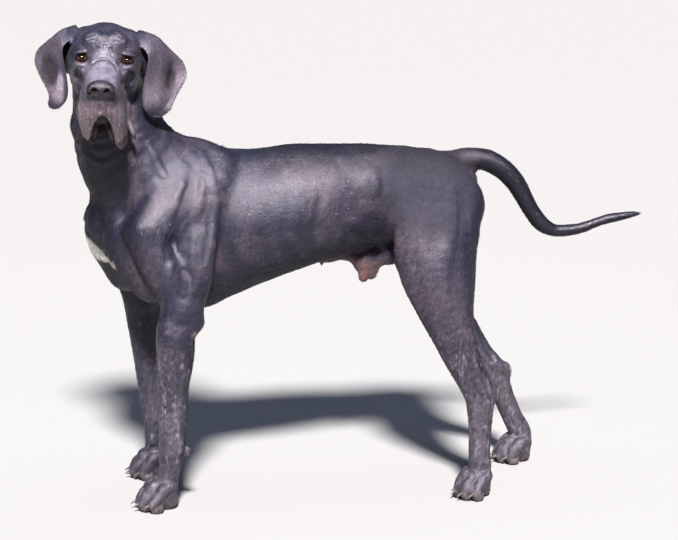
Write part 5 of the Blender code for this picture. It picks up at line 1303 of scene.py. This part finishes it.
    # nose
    nose = head * step(L[:, 0], 0.1385, 0.1425) * step(F[:, 2], -0.0935, -0.0900) * (ay < 0.034)
    C = lerp(C, (0.006, 0.005, 0.006), nose)
    R = R + (0.30 - R) * nose
    bare = np.maximum(bare, nose)
    # painted shade: the nostrils are darkened to black and made matte
    for s in (-1, 1):
        nostril_shade = blob(L, (0.158, s * 0.0142, -0.0235), (0.020, 0.0095, 0.0100))
        C = lerp(C, (0.001, 0.001, 0.001), np.minimum(nostril_shade * 2, 1))
        R = R + (0.9 - R) * np.minimum(nostril_shade * 2, 1)
    # eyes: dark rims, partly the lids' own black edge and partly painted shade under the lids; the inner corner red
    for s in (-1, 1):
        u, v = s * F[:, 1] - 0.048, F[:, 2]
        d = np.sqrt(((u - 0.0012) / 0.0150) ** 2 + ((v + 0.0010) / 0.0118) ** 2)
        near = (np.abs(L[:, 0]) < 0.03) * head
        C = lerp(C, (0.006, 0.004, 0.004), step(-d, -1.12, -0.90) * near)
        R = R + (0.25 - R) * step(-d, -1.0, -0.85) * near
        bare = np.maximum(bare, step(-d, -1.15, -0.95) * near)
        haw = np.exp(-((u + 0.0085) / 0.0030) ** 2 - ((v + 0.0078) / 0.0022) ** 2) + 0.8 * np.exp(-((u - 0.001) / 0.0070) ** 2 - ((v + 0.0102) / 0.0011) ** 2)
        C = lerp(C, (0.11, 0.026, 0.026), np.minimum(haw, 1) * near * 0.55)
    # ears: pinkish grey towards the tips and edges
    ear = head * step(ay, 0.080, 0.092) * (L[:, 0] < 0.0) * (L[:, 2] < 0.06)
    C = lerp(C, (0.088, 0.070, 0.090), ear * (0.30 + 0.65 * step(-L[:, 2], 0.03, 0.10)))
    C = lerp(C, (0.020, 0.018, 0.028), ear * step(wave(P, 0.020, 31), 0.3, 0.9) * step(L[:, 2], -0.08, -0.03) * 0.7)
    G = F * [0, 1, 1]
    # painted light and shade on the ears: the right ear's outer part is darkened and its inner part painted blue-black
    # as shade, its hanging lobe paled as painted light; the left ear has a pocket of painted shadow
    C = lerp(C, (0.011, 0.009, 0.012), ear * blob(G, (0, -0.120, -0.036), (1, 0.030, 0.044)) * 0.9)
    C = lerp(C, (0.008, 0.010, 0.026), ear * blob(G, (0, -0.080, -0.036), (1, 0.017, 0.052)) * 0.9)
    C = lerp(C, (0.125, 0.105, 0.135), ear * np.maximum(blob(G, (0, -0.094, -0.065), (1, 0.010, 0.036)), blob(G, (0, -0.100, -0.096), (1, 0.017, 0.020))) * 0.9)
    C = lerp(C, (0.010, 0.008, 0.011), ear * blob(G, (0, 0.144, -0.040), (1, 0.015, 0.032)) * 0.9)
    # painted shade at the roots of the ears, between the ears and the head
    C = lerp(C, (0.005, 0.004, 0.006), head * blob(L * [1, 0, 1] + np.abs(L) * [0, 1, 0], (-0.080, 0.082, -0.020), (0.032, 0.024, 0.050)))
    # painted shade darkens the top of the back and the hip; the lower legs are darker too
    up = step(z, 0.72, 0.80) * step(P[:, 0], 0.45, 0.60)
    hip = step(P[:, 0], 0.98, 1.08) * step(z, 0.45, 0.60) * (1 - up)
    C = C * (1 - 0.50 * up - 0.42 * hip - 0.20 * leg)[:, None]
    R = R + 0.10 * up
    return C, R, bare


# ------------------------------------------------------------------ materials
def principled(name, **sets):
    m = bpy.data.materials.new(name)
    m.use_nodes = True
    b = m.node_tree.nodes["Principled BSDF"]
    for k, v in sets.items():
        b.inputs[k.replace("_", " ")].default_value = v
    return m, m.node_tree, b


def node(nt, kind, **props):
    n = nt.nodes.new(kind)
    for k, v in props.items():
        setattr(n, k, v)
    return n


def skin_material():
    """Short flat coat: fine hair grain as bump and as light and dark flecks."""
    m, nt, b = principled("coat_skin", Roughness=0.42)
    b.inputs["Specular IOR Level"].default_value = 0.38
    b.inputs["Specular Tint"].default_value = (0.92, 0.86, 1.0, 1)
    b.inputs["Sheen Weight"].default_value = 0.02
    b.inputs["Sheen Roughness"].default_value = 0.40
    b.inputs["Sheen Tint"].default_value = (0.66, 0.64, 0.86, 1)
    tint = node(nt, "ShaderNodeAttribute", attribute_name="tint")
    rough = node(nt, "ShaderNodeAttribute", attribute_name="rough")
    way = node(nt, "ShaderNodeAttribute", attribute_name="hair")
    tc = node(nt, "ShaderNodeTexCoord")
    # grain: a fine and a coarser noise in the object's own space
    fine = node(nt, "ShaderNodeTexNoise")
    fine.inputs["Scale"].default_value = 420.0
    fine.inputs["Detail"].default_value = 3.0
    fine.inputs["Roughness"].default_value = 0.65
    nt.links.new(tc.outputs["Object"], fine.inputs["Vector"])
    mid = node(nt, "ShaderNodeTexNoise")
    mid.inputs["Scale"].default_value = 120.0
    mid.inputs["Detail"].default_value = 3.0
    nt.links.new(tc.outputs["Object"], mid.inputs["Vector"])
    ramp = node(nt, "ShaderNodeMapRange")
    for k, v in (("From Min", 0.32), ("From Max", 0.72), ("To Min", 0.25), ("To Max", 2.6)):
        ramp.inputs[k].default_value = v
    nt.links.new(fine.outputs["Fac"], ramp.inputs["Value"])
    mul = node(nt, "ShaderNodeVectorMath", operation='SCALE')
    nt.links.new(tint.outputs["Color"], mul.inputs[0])
    nt.links.new(ramp.outputs["Result"], mul.inputs["Scale"])
    nt.links.new(mul.outputs["Vector"], b.inputs["Base Color"])
    rr = node(nt, "ShaderNodeMath", operation='MULTIPLY_ADD')
    nt.links.new(mid.outputs["Fac"], rr.inputs[0])
    rr.inputs[1].default_value = 0.16
    nt.links.new(rough.outputs["Fac"], rr.inputs[2])
    nt.links.new(rr.outputs[0], b.inputs["Roughness"])
    both_ = node(nt, "ShaderNodeMath", operation='MULTIPLY_ADD')
    nt.links.new(mid.outputs["Fac"], both_.inputs[0])
    both_.inputs[1].default_value = 0.45
    nt.links.new(fine.outputs["Fac"], both_.inputs[2])
    bump = node(nt, "ShaderNodeBump")
    bump.inputs["Strength"].default_value = 0.85
    bump.inputs["Distance"].default_value = 0.0012
    nt.links.new(both_.outputs[0], bump.inputs["Height"])
    nt.links.new(bump.outputs["Normal"], b.inputs["Normal"])
    return m


def eye_mesh(side):
    """A round eye with a slight cornea."""
    bm = bmesh.new()
    bmesh.ops.create_uvsphere(bm, u_segments=64, v_segments=40, radius=1.0)
    A = HEAD
    c = from_head(EYES[side])
    f = EYE_LOOK[side]
    A = axes_from(f)
    me = bpy.data.meshes.new("eye")
    local = []
    for v in bm.verts:
        q = np.array(v.co)
        q = np.array([q[2], q[0], q[1]])
        r = math.hypot(q[1], q[2])
        bulge = 0.075 * max(0.0, 1 - (r / 0.52) ** 2) ** 1.0 if q[0] > 0 else 0.0
        q = q * (1 + bulge)
        local.append(q)
        v.co = (c + EYE_R * 0.985 * (q @ A)) - SHIFT
    bm.normal_update()
    bmesh.ops.recalc_face_normals(bm, faces=bm.faces)
    bm.to_mesh(me)
    bm.free()
    me.shade_smooth()
    a = me.attributes.new("face", 'FLOAT_VECTOR', 'POINT')
    a.data.foreach_set("vector", np.array(local, np.float32).ravel())
    return me


def eye_material():
    m, nt, b = principled("eye", Roughness=0.04)
    at = node(nt, "ShaderNodeAttribute", attribute_name="face")
    sep = node(nt, "ShaderNodeSeparateXYZ")
    nt.links.new(at.outputs["Vector"], sep.inputs[0])
    sq = []
    for ax in ("Y", "Z"):
        k = node(nt, "ShaderNodeMath", operation='POWER')
        nt.links.new(sep.outputs[ax], k.inputs[0])
        k.inputs[1].default_value = 2.0
        sq.append(k)
    add_ = node(nt, "ShaderNodeMath", operation='ADD')
    nt.links.new(sq[0].outputs[0], add_.inputs[0])
    nt.links.new(sq[1].outputs[0], add_.inputs[1])
    r = node(nt, "ShaderNodeMath", operation='SQRT')
    nt.links.new(add_.outputs[0], r.inputs[0])
    noise = node(nt, "ShaderNodeTexNoise")
    noise.inputs["Scale"].default_value = 6.0
    noise.inputs["Detail"].default_value = 4.0
    nt.links.new(at.outputs["Vector"], noise.inputs["Vector"])
    add2 = node(nt, "ShaderNodeMath", operation='MULTIPLY_ADD')
    nt.links.new(noise.outputs["Fac"], add2.inputs[0])
    add2.inputs[1].default_value = 0.05
    nt.links.new(r.outputs[0], add2.inputs[2])
    ramp = node(nt, "ShaderNodeValToRGB")
    cr = ramp.color_ramp
    stops = [(0.0, (0.001, 0.001, 0.001)), (0.285, (0.001, 0.001, 0.001)), (0.32, (0.003, 0.001, 0.001)), (0.40, (0.016, 0.006, 0.002)), (0.50, (0.010, 0.0035, 0.001)),
             (0.58, (0.025, 0.008, 0.003)), (0.62, (0.006, 0.004, 0.004)), (0.72, (0.060, 0.030, 0.026)), (1.0, (0.16, 0.07, 0.06))]
    cr.elements[0].position, cr.elements[0].color = stops[0][0], (*stops[0][1], 1)
    cr.elements[1].position, cr.elements[1].color = stops[-1][0], (*stops[-1][1], 1)
    for p, c in stops[1:-1]:
        e = cr.elements.new(p)
        e.color = (*c, 1)
    nt.links.new(add2.outputs[0], ramp.inputs["Fac"])
    nt.links.new(ramp.outputs["Color"], b.inputs["Base Color"])
    return m


EYE_LOOK = {"left": unit(HEAD[0] + 0.10 * HEAD[1] + 0.04 * HEAD[2]), "right": unit(HEAD[0] - 0.10 * HEAD[1] + 0.04 * HEAD[2])}


def claw_points(tip, f, size, rings=14, sides=20):
    long, drop_ = CLAW_LONG * size, CLAW_DROP * size
    f = unit(f)
    side = unit(np.cross((0, 0, 1), f))
    pts, tip_way = [], []
    for i in range(rings):
        t = i / (rings - 1)
        p = np.array(tip) + f * long * (t - 0.5) + np.array((0, 0, 1)) * (-drop_ * t * t + drop_ * 0.25)
        r = CLAW_R * size * (1 - 0.80 * t ** 1.6) * (1 if i < rings - 1 else 0.55)
        for j in range(sides):
            w = 2 * math.pi * j / sides
            pts.append(p + side * math.cos(w) * r * 0.76 + np.array((0, 0, 1)) * math.sin(w) * r * (1.04 if math.sin(w) > 0 else 0.86))
            tip_way.append(t)
    faces = []
    for i in range(rings - 1):
        for j in range(sides):
            k = (j + 1) % sides
            faces.append((i * sides + j, i * sides + k, (i + 1) * sides + k, (i + 1) * sides + j))
    faces.append(tuple(range(sides))[::-1])
    faces.append(tuple((rings - 1) * sides + j for j in range(sides)))
    return pts, faces, tip_way


def make_claws():
    P, F, T = [], [], []
    for name, tip, f, size in CLAWS:
        p, fs, t = claw_points(tip, f, size)
        F += [tuple(i + len(P) for i in q) for q in fs]
        P += p
        T += t
    me = bpy.data.meshes.new("claws")
    me.from_pydata([tuple(np.array(p) - SHIFT) for p in P], [], F)
    bm = bmesh.new()
    bm.from_mesh(me)
    bm.normal_update()
    bmesh.ops.recalc_face_normals(bm, faces=bm.faces)
    bm.to_mesh(me)
    bm.free()
    me.shade_smooth()
    value_layer(me, "along", np.array(T))
    m, nt, b = principled("claw", Roughness=0.45)
    at = node(nt, "ShaderNodeAttribute", attribute_name="along")
    ramp = node(nt, "ShaderNodeValToRGB")
    cr = ramp.color_ramp
    cr.elements[0].position, cr.elements[0].color = 0.40, (0.030, 0.024, 0.022, 1)
    cr.elements[1].position, cr.elements[1].color = 0.75, (0.040, 0.042, 0.060, 1)
    nt.links.new(at.outputs["Fac"], ramp.inputs["Fac"])
    nt.links.new(ramp.outputs["Color"], b.inputs["Base Color"])
    ob = put_object("claws_fine", me, m)
    return ob




# ------------------------------------------------------------------ tufts: short thin locks lying along the coat
def along_line(P, line):
    """The direction of a line of points at the place nearest to each point."""
    L = np.array([r[:3] for r in line], float)
    best = np.full(len(P), 1e9)
    out = np.zeros((len(P), 3))
    for a, b in zip(L[:-1], L[1:]):
        t = np.clip(((P - a) @ (b - a)) / ((b - a) @ (b - a)), 0, 1)
        d = ((P - a - t[:, None] * (b - a)) ** 2).sum(1)
        closer = d < best
        best[closer] = d[closer]
        out[closer] = unit(b - a)
    return out


def lie(P, N):
    """Which way the hair lies at points of the skin."""
    x, y, z = P.T
    T = turn(P)
    L = to_head(P)
    F = np.tile(unit((1.0, 0, -0.30)), (len(P), 1))

    def mix(F, v, w):
        v = np.broadcast_to(np.asarray(v, float), F.shape)
        return F + (v / np.linalg.norm(v, axis=1, keepdims=True) - F) * w[:, None]

    F = mix(F, (0.40, 0, -1.0), step(-T[:, 0], -0.36, -0.22))
    F = mix(F, (0.34, 0.05, -0.95), step(z, 0.78, 0.88) * (x < 0.5))
    F = mix(F, (0.50, 0, -0.85), step(x, 0.82, 0.92) * step(-z, -0.76, -0.66))
    F = mix(F, (0.06, 0, -1.0), step(-z, -0.48, -0.40))
    F = mix(F, along_line(P, TAIL), step(x, 1.00, 1.04) * step(z, 0.56, 0.58))
    head = step(above_neck(P), -0.02, 0.02)
    side = np.sign(L[:, 1:2]) * HEAD[1] * 0.35 - HEAD[0] - HEAD[2] * (1.2 * step(-L[:, 2], 0.00, 0.07) - 0.5 * step(L[:, 2], 0.0, 0.03))[:, None]
    F = mix(F, side, head)
    F = mix(F, -HEAD[2] + 0.15 * HEAD[0], head * step(np.abs(L[:, 1]), 0.080, 0.092) * (L[:, 2] < 0.03))
    F = F - (F * N).sum(1, keepdims=True) * N
    return F / np.maximum(np.linalg.norm(F, axis=1, keepdims=True), 1e-9)


def coat_zones(P, N):
    """How thickly tufts grow, how long they are and how far they stand out, at points of the skin."""
    x, y, z = P.T
    T = turn(P)
    L = to_head(P)
    many, long_, out = np.full(len(P), 1.0), np.full(len(P), 0.0072), np.full(len(P), 0.25)
    head = step(above_neck(P), -0.02, 0.02)
    foot = step(-z, -0.20, -0.08)
    edge = np.maximum.reduce([
        step(-N[:, 2], 0.35, 0.75) * (x > 0.30) * (x < 0.90) * (z > 0.40) * (z < 0.62),            # belly edge
        step(N[:, 0], 0.45, 0.80) * (x > 0.90) * (z > 0.30) * (z < 0.72),                          # back of the thighs
        step(-N[:, 0], 0.45, 0.80) * (T[:, 0] < 0.26) * (z > 0.45) * (z < 0.92) * (head < 0.5),    # breast and throat
        step(N[:, 0], 0.45, 0.80) * (x < 0.42) * (z < 0.46) * (z > 0.12),                          # back of the fore legs
        step(N[:, 0], 0.45, 0.80) * (x > 0.95) * (z < 0.30) * (z > 0.10),                          # back of the hocks
        step(N[:, 2], 0.60, 0.90) * (z > 0.72) * (head < 0.5) * 0.6,                               # ridge of the back and neck
        blob(P * [1, 0, 1], (0.750, 0, 0.640), (0.070, 1, 0.040)) * 0.7,                           # flank fold
        (x > 1.02) * (z > 0.57) * (0.4 + 0.6 * step(-N[:, 2], -0.2, 0.6))])                        # tail
    many = many + 2.6 * edge
    long_ = long_ + 0.0022 * edge
    out = out + 0.55 * edge
    many = many + 3.2 * head + 1.6 * foot
    long_ = long_ + (0.0033 - long_) * head
    ear = head * step(np.abs(L[:, 1]), 0.080, 0.092)
    long_ = long_ + (0.0060 - long_) * ear
    long_ = long_ + (0.0046 - long_) * foot
    out = out + (0.45 - out) * np.maximum(head, foot)
    return many, long_, out


def spikes(root, N, F, length, width, lift, sink=0.0005):
    """Closed four-faced slivers: three corners at the root, one at the tip."""
    S = np.cross(N, F) * (width / 2)[:, None]
    base = root - N * sink
    n = len(root)
    V = np.empty((n, 4, 3))
    V[:, 0] = base - S
    V[:, 1] = base + S
    V[:, 2] = root + N * (width * 0.30)[:, None] + F * (length * 0.22)[:, None]
    V[:, 3] = root + F * length[:, None] + N * lift[:, None]
    I = np.arange(n)[:, None] * 4
    faces = np.concatenate([I + [0, 3, 2], I + [2, 3, 1], I + [1, 3, 0], I + [0, 2, 1]])
    return V.reshape(-1, 3), faces


COAT_REGIONS = [
    ("coat_head", lambda P: above_neck(P) > 0.0),
    ("coat_tail", lambda P: (P[:, 0] > 1.03) & (P[:, 2] > 0.56)),
    ("coat_fore_legs", lambda P: (P[:, 2] < 0.44) & (P[:, 0] < 0.60)),
    ("coat_hind_legs", lambda P: (P[:, 2] < 0.56) & (P[:, 0] > 0.86)),
    ("coat_front_left", lambda P: (P[:, 0] < 0.48) & (P[:, 1] < -0.005)),
    ("coat_front_right", lambda P: (P[:, 0] < 0.48)),
    ("coat_rear_left", lambda P: P[:, 1] < 0.0),
    ("coat_rear_right", lambda P: P[:, 0] > -9)]


def bake_map(me, root, N, side_of, per=4):
    """OFBake: each tuft a patch 0.003 across at its root's place on the skin's own unwrap, one tile for each way the skin faces."""
    way = np.argmax(np.abs(N), 1) * 2 + (N[np.arange(len(N)), np.argmax(np.abs(N), 1)] > 0)
    uv = np.empty((len(root), 2))
    flat = {0: (1, 2), 1: (0, 2), 2: (0, 1)}
    for w in range(6):
        for s in (0, 1):
            on = (way == w) & (side_of == s)
            if not on.any():
                continue
            q = root[on][:, list(flat[w // 2])]
            lo, hi = q.min(0), q.max(0)
            q = (q - lo) / max((hi - lo).max(), 1e-6)
            cell = w * 2 + s
            uv[on] = (np.array([cell % 4, cell // 4]) + 0.03 + 0.94 * q) / (4, 3)
    corner = np.array([(-0.5, -0.5), (0.5, -0.5), (0.0, 0.0), (0.0, 0.5)]) * 0.003
    V = (uv[:, None] + corner[None]).reshape(-1, 2)
    lay = me.uv_layers.new(name="OFBake")
    vi = np.empty(len(me.loops), np.int32)
    me.loops.foreach_get("vertex_index", vi)
    lay.data.foreach_set("uv", np.ascontiguousarray(np.clip(V[vi], 0, 1), np.float32).ravel())


def coat_material():
    m, nt, b = principled("coat_tufts", Roughness=0.40)
    b.inputs["Specular IOR Level"].default_value = 0.40
    b.inputs["Specular Tint"].default_value = (0.92, 0.86, 1.0, 1)
    tint = node(nt, "ShaderNodeAttribute", attribute_name="tint")
    nt.links.new(tint.outputs["Color"], b.inputs["Base Color"])
    rough = node(nt, "ShaderNodeAttribute", attribute_name="rough")
    nt.links.new(rough.outputs["Fac"], b.inputs["Roughness"])
    return m


def make_coat(P, Q, total):
    A, B, C_, D_ = (P[Q[:, i]] for i in range(4))
    X = np.cross(C_ - A, D_ - B)
    area = np.linalg.norm(X, axis=1)
    FN = X / np.maximum(area, 1e-12)[:, None]
    mid = (A + B + C_ + D_) / 4
    if (FN * (mid - mid.mean(0))).sum() < 0:
        FN = -FN
    many, long_, out = coat_zones(mid, FN)
    _, _, bare = markings_and_painted_light(mid)
    many = many * (1 - step(bare, 0.2, 0.6)) * (mid[:, 2] > 0.012)
    L = to_head(mid)
    mouth = (above_neck(mid) > 0) & (L[:, 0] > -0.02) & (L[:, 2] < -0.070) & (np.abs(L[:, 1]) < 0.030) & (L[:, 0] < 0.125)
    many = many * ~mouth
    rng = np.random.default_rng(5)
    cum = np.cumsum(area * many)
    pick = np.searchsorted(cum, (np.arange(total) + rng.uniform(0, 1, total)) / total * cum[-1]).clip(0, len(Q) - 1)
    u, v = rng.uniform(0, 1, (2, total, 1))
    root = (1 - u) * (1 - v) * A[pick] + u * (1 - v) * B[pick] + u * v * C_[pick] + (1 - u) * v * D_[pick]
    N = FN[pick]
    F = lie(root, N)
    turn_ = rng.normal(0, 0.16, total)[:, None]
    F = F * np.cos(turn_) + np.cross(N, F) * np.sin(turn_)
    l = long_[pick] * rng.uniform(0.65, 1.30, total)
    w = l * rng.uniform(0.09, 0.14, total)
    lift = depth(root) * np.clip(out[pick] * rng.uniform(0.5, 1.5, total), 0.1, 1.0)
    C, rough, _ = markings_and_painted_light(root)
    shade = rng.uniform(0.2, 1.5, total) * np.where(rng.uniform(0, 1, total) < 0.20, 2.4, 1.0)
    # grizzled hairs round the mouth: many white, some brown
    Lr, Fr = to_head(root), face_view(root)
    rim = step(above_neck(root), -0.02, 0.02) * step(Lr[:, 0], 0.060, 0.100) * step(-Fr[:, 2], 0.088, 0.104) * (np.abs(Lr[:, 1]) < 0.050)
    dice = rng.uniform(0, 1, total)
    C = np.where((dice < 0.30 * rim)[:, None], vec(0.50, 0.43, 0.46), C)
    C = np.where(((dice > 0.75) & (rim > 0.5))[:, None], vec(0.035, 0.018, 0.016), C)
    C = np.clip(C * shade[:, None], 0, 0.85)
    left = np.ones(total, bool)
    m = coat_material()
    made = []
    for name, test in COAT_REGIONS:
        on = left & test(root)
        left &= ~on
        if not on.any():
            continue
        V, faces = spikes(root[on], N[on], F[on], l[on], w[on], lift[on])
        V[:, 2] = np.maximum(V[:, 2], 0.0004)
        me = fast_mesh(name, V - SHIFT, faces)
        colour_layer(me, "tint", np.repeat(C[on], 4, 0))
        value_layer(me, "rough", np.repeat(np.maximum(rough[on], 0.38) + 0.04, 4))
        way = N[on] + rng.uniform(-1, 1, (on.sum(), 3)) * (0.38 - 0.16 * step(above_neck(root[on]), -0.02, 0.02))[:, None]
        way /= np.linalg.norm(way, axis=1, keepdims=True)
        me.normals_split_custom_set_from_vertices(np.repeat(way, 4, 0))
        bake_map(me, root[on], N[on], (root[on][:, 1] > 0).astype(int))
        ob = put_object(name, me, m)
        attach(ob, "root")
        made.append((name, len(faces)))
    return made


def whiskers():
    """A few long hairs on the lips and over the eyes."""
    rng = np.random.default_rng(9)
    V, F, n = [], [], 0
    places = [(0.112 - 0.013 * (i % 4), 0.036 + 0.001 * (i % 4), -0.066 - 0.016 * (i // 4)) for i in range(12)]
    for s in (-1, 1):
        for k, (x, y, z) in enumerate(places + [(0.004, 0.034, 0.038), (0.003, 0.042, 0.035)]):
            high = k >= len(places)
            a = from_head((x, s * (y + 0.002), z))
            way = unit(HEAD[0] * (0.25 + 0.3 * rng.uniform()) + s * HEAD[1] * (0.9 if not high else 0.25) + HEAD[2] * (0.9 if high else -0.55 - 0.3 * rng.uniform()))
            long_ = 0.030 * rng.uniform(0.7, 1.15) * (0.6 if high else 1)
            p = unit(np.cross(way, HEAD[2] + 0.1))
            q = np.cross(way, p)
            rings = 5
            for j in range(rings):
                t = j / (rings - 1)
                c = a + way * long_ * t - HEAD[2] * (0.006 * t * t)
                r = 0.00030 * (1 - 0.85 * t)
                for g in range(3):
                    V.append(c + r * (p * math.cos(2.0944 * g) + q * math.sin(2.0944 * g)))
            for j in range(rings - 1):
                for g in range(3):
                    h = (g + 1) % 3
                    F.append((n + j * 3 + g, n + j * 3 + h, n + j * 3 + 3 + h, n + j * 3 + 3 + g))
            F.append((n + 2, n + 1, n))
            F.append((n + 12, n + 13, n + 14))
            n += 15
    me = bpy.data.meshes.new("whiskers")
    me.from_pydata([tuple(v - SHIFT) for v in V], [], F)
    m, nt, b = principled("whisker", Roughness=0.4)
    b.inputs["Base Color"].default_value = (0.03, 0.028, 0.030, 1)
    ob = put_object("whiskers", me, m)
    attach(ob, "root")


# ------------------------------------------------------------------ the model
P, Q, odd = make_skin()
me = fast_mesh("skin", P - SHIFT, Q, odd)
C, R, bare = markings_and_painted_light(P)
colour_layer(me, "tint", C)
value_layer(me, "rough", R)
skin = put_object("skin", me, skin_material())
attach(skin, "root")
flesh = [n for n in frame["nodes"] if not n.startswith(("claw_", "eye_"))]
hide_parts(*flesh)

make_coat(P, Q, 130000)
whiskers()

em = eye_material()
for s in EYES:
    eye = put_object("eyeball_" + s, eye_mesh(s), em)
    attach(eye, "root")
    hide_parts("eye_" + s)
claws = make_claws()
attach(claws, "root")
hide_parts(*[n for n in frame["nodes"] if n.startswith("claw_")])

# ------------------------------------------------------------------ floor, light, camera
fl = bpy.data.meshes.new("floor")
fl.from_pydata([(-40, -8, 0), (40, -8, 0), (40, 70, 0), (-40, 70, 0)], [], [(0, 1, 2, 3)])
fm, nt, b = principled("floor", Roughness=0.9)
b.inputs["Base Color"].default_value = (0.205, 0.205, 0.209, 1)
floor = put_object("floor", fl, fm)

world = bpy.data.worlds.new("studio")
bpy.context.scene.world = world
world.use_nodes = True
wt = world.node_tree
bg = wt.nodes["Background"]
tc = node(wt, "ShaderNodeTexCoord")
sp = node(wt, "ShaderNodeSeparateXYZ")
wt.links.new(tc.outputs["Generated"], sp.inputs[0])
sky = node(wt, "ShaderNodeValToRGB")
sky.color_ramp.elements[0].position, sky.color_ramp.elements[0].color = 0.0, (0.30, 0.29, 0.33, 1)
sky.color_ramp.elements[1].position, sky.color_ramp.elements[1].color = 1.0, (0.72, 0.84, 1.30, 1)
e_ = sky.color_ramp.elements.new(0.35)
e_.color = (0.38, 0.42, 0.58, 1)
wt.links.new(sp.outputs["Z"], sky.inputs["Fac"])
wt.links.new(sky.outputs["Color"], bg.inputs["Color"])
bg.inputs["Strength"].default_value = 0.21


def lamp(name, at, to, size, power, colour=(1, 1, 1)):
    l = bpy.data.lights.new(name, 'AREA')
    l.size = size
    l.energy = power
    l.color = colour
    o = bpy.data.objects.new(name, l)
    o.location = at
    o.rotation_mode = 'QUATERNION'
    o.rotation_quaternion = (Vector(to) - Vector(at)).to_track_quat('-Z', 'Y')
    bpy.context.scene.collection.objects.link(o)
    return o


sun = bpy.data.lights.new("sun", 'SUN')
sun.energy = 18.5
sun.angle = math.radians(8)
sun.color = (1.0, 0.96, 0.92)
so = bpy.data.objects.new("sun", sun)
so.rotation_mode = 'QUATERNION'
so.rotation_quaternion = Vector((0.08, 0.70, -0.71)).to_track_quat('-Z', 'Y')
bpy.context.scene.collection.objects.link(so)
lamp("top", (-0.2, 0.2, 3.4), (0, 0, 0.6), 2.0, 30, (0.66, 0.76, 1.0))

CAM_AT, CAM_SIDE, CAM_DOWN, CAM_FOCAL = (0.0, -4.01, 1.35), -10.0, 11.5, 94.73
cam = bpy.data.cameras.new("camera")
cam.lens = CAM_FOCAL
cam.sensor_width = 36
cam.clip_end = 60
co = bpy.data.objects.new("camera", cam)
bpy.context.scene.collection.objects.link(co)
az, dn = math.radians(CAM_SIDE), math.radians(CAM_DOWN)
right = Vector((math.cos(az), math.sin(az), 0))
ahead = Vector((-math.sin(az) * math.cos(dn), math.cos(az) * math.cos(dn), -math.sin(dn)))
up = right.cross(ahead)
R3 = Matrix((right, up, -ahead)).transposed()
co.matrix_world = Matrix.Translation(Vector(CAM_AT) - Vector(SHIFT)) @ R3.to_4x4()
bpy.context.scene.camera = co
bpy.context.scene.view_settings.view_transform = 'Standard'
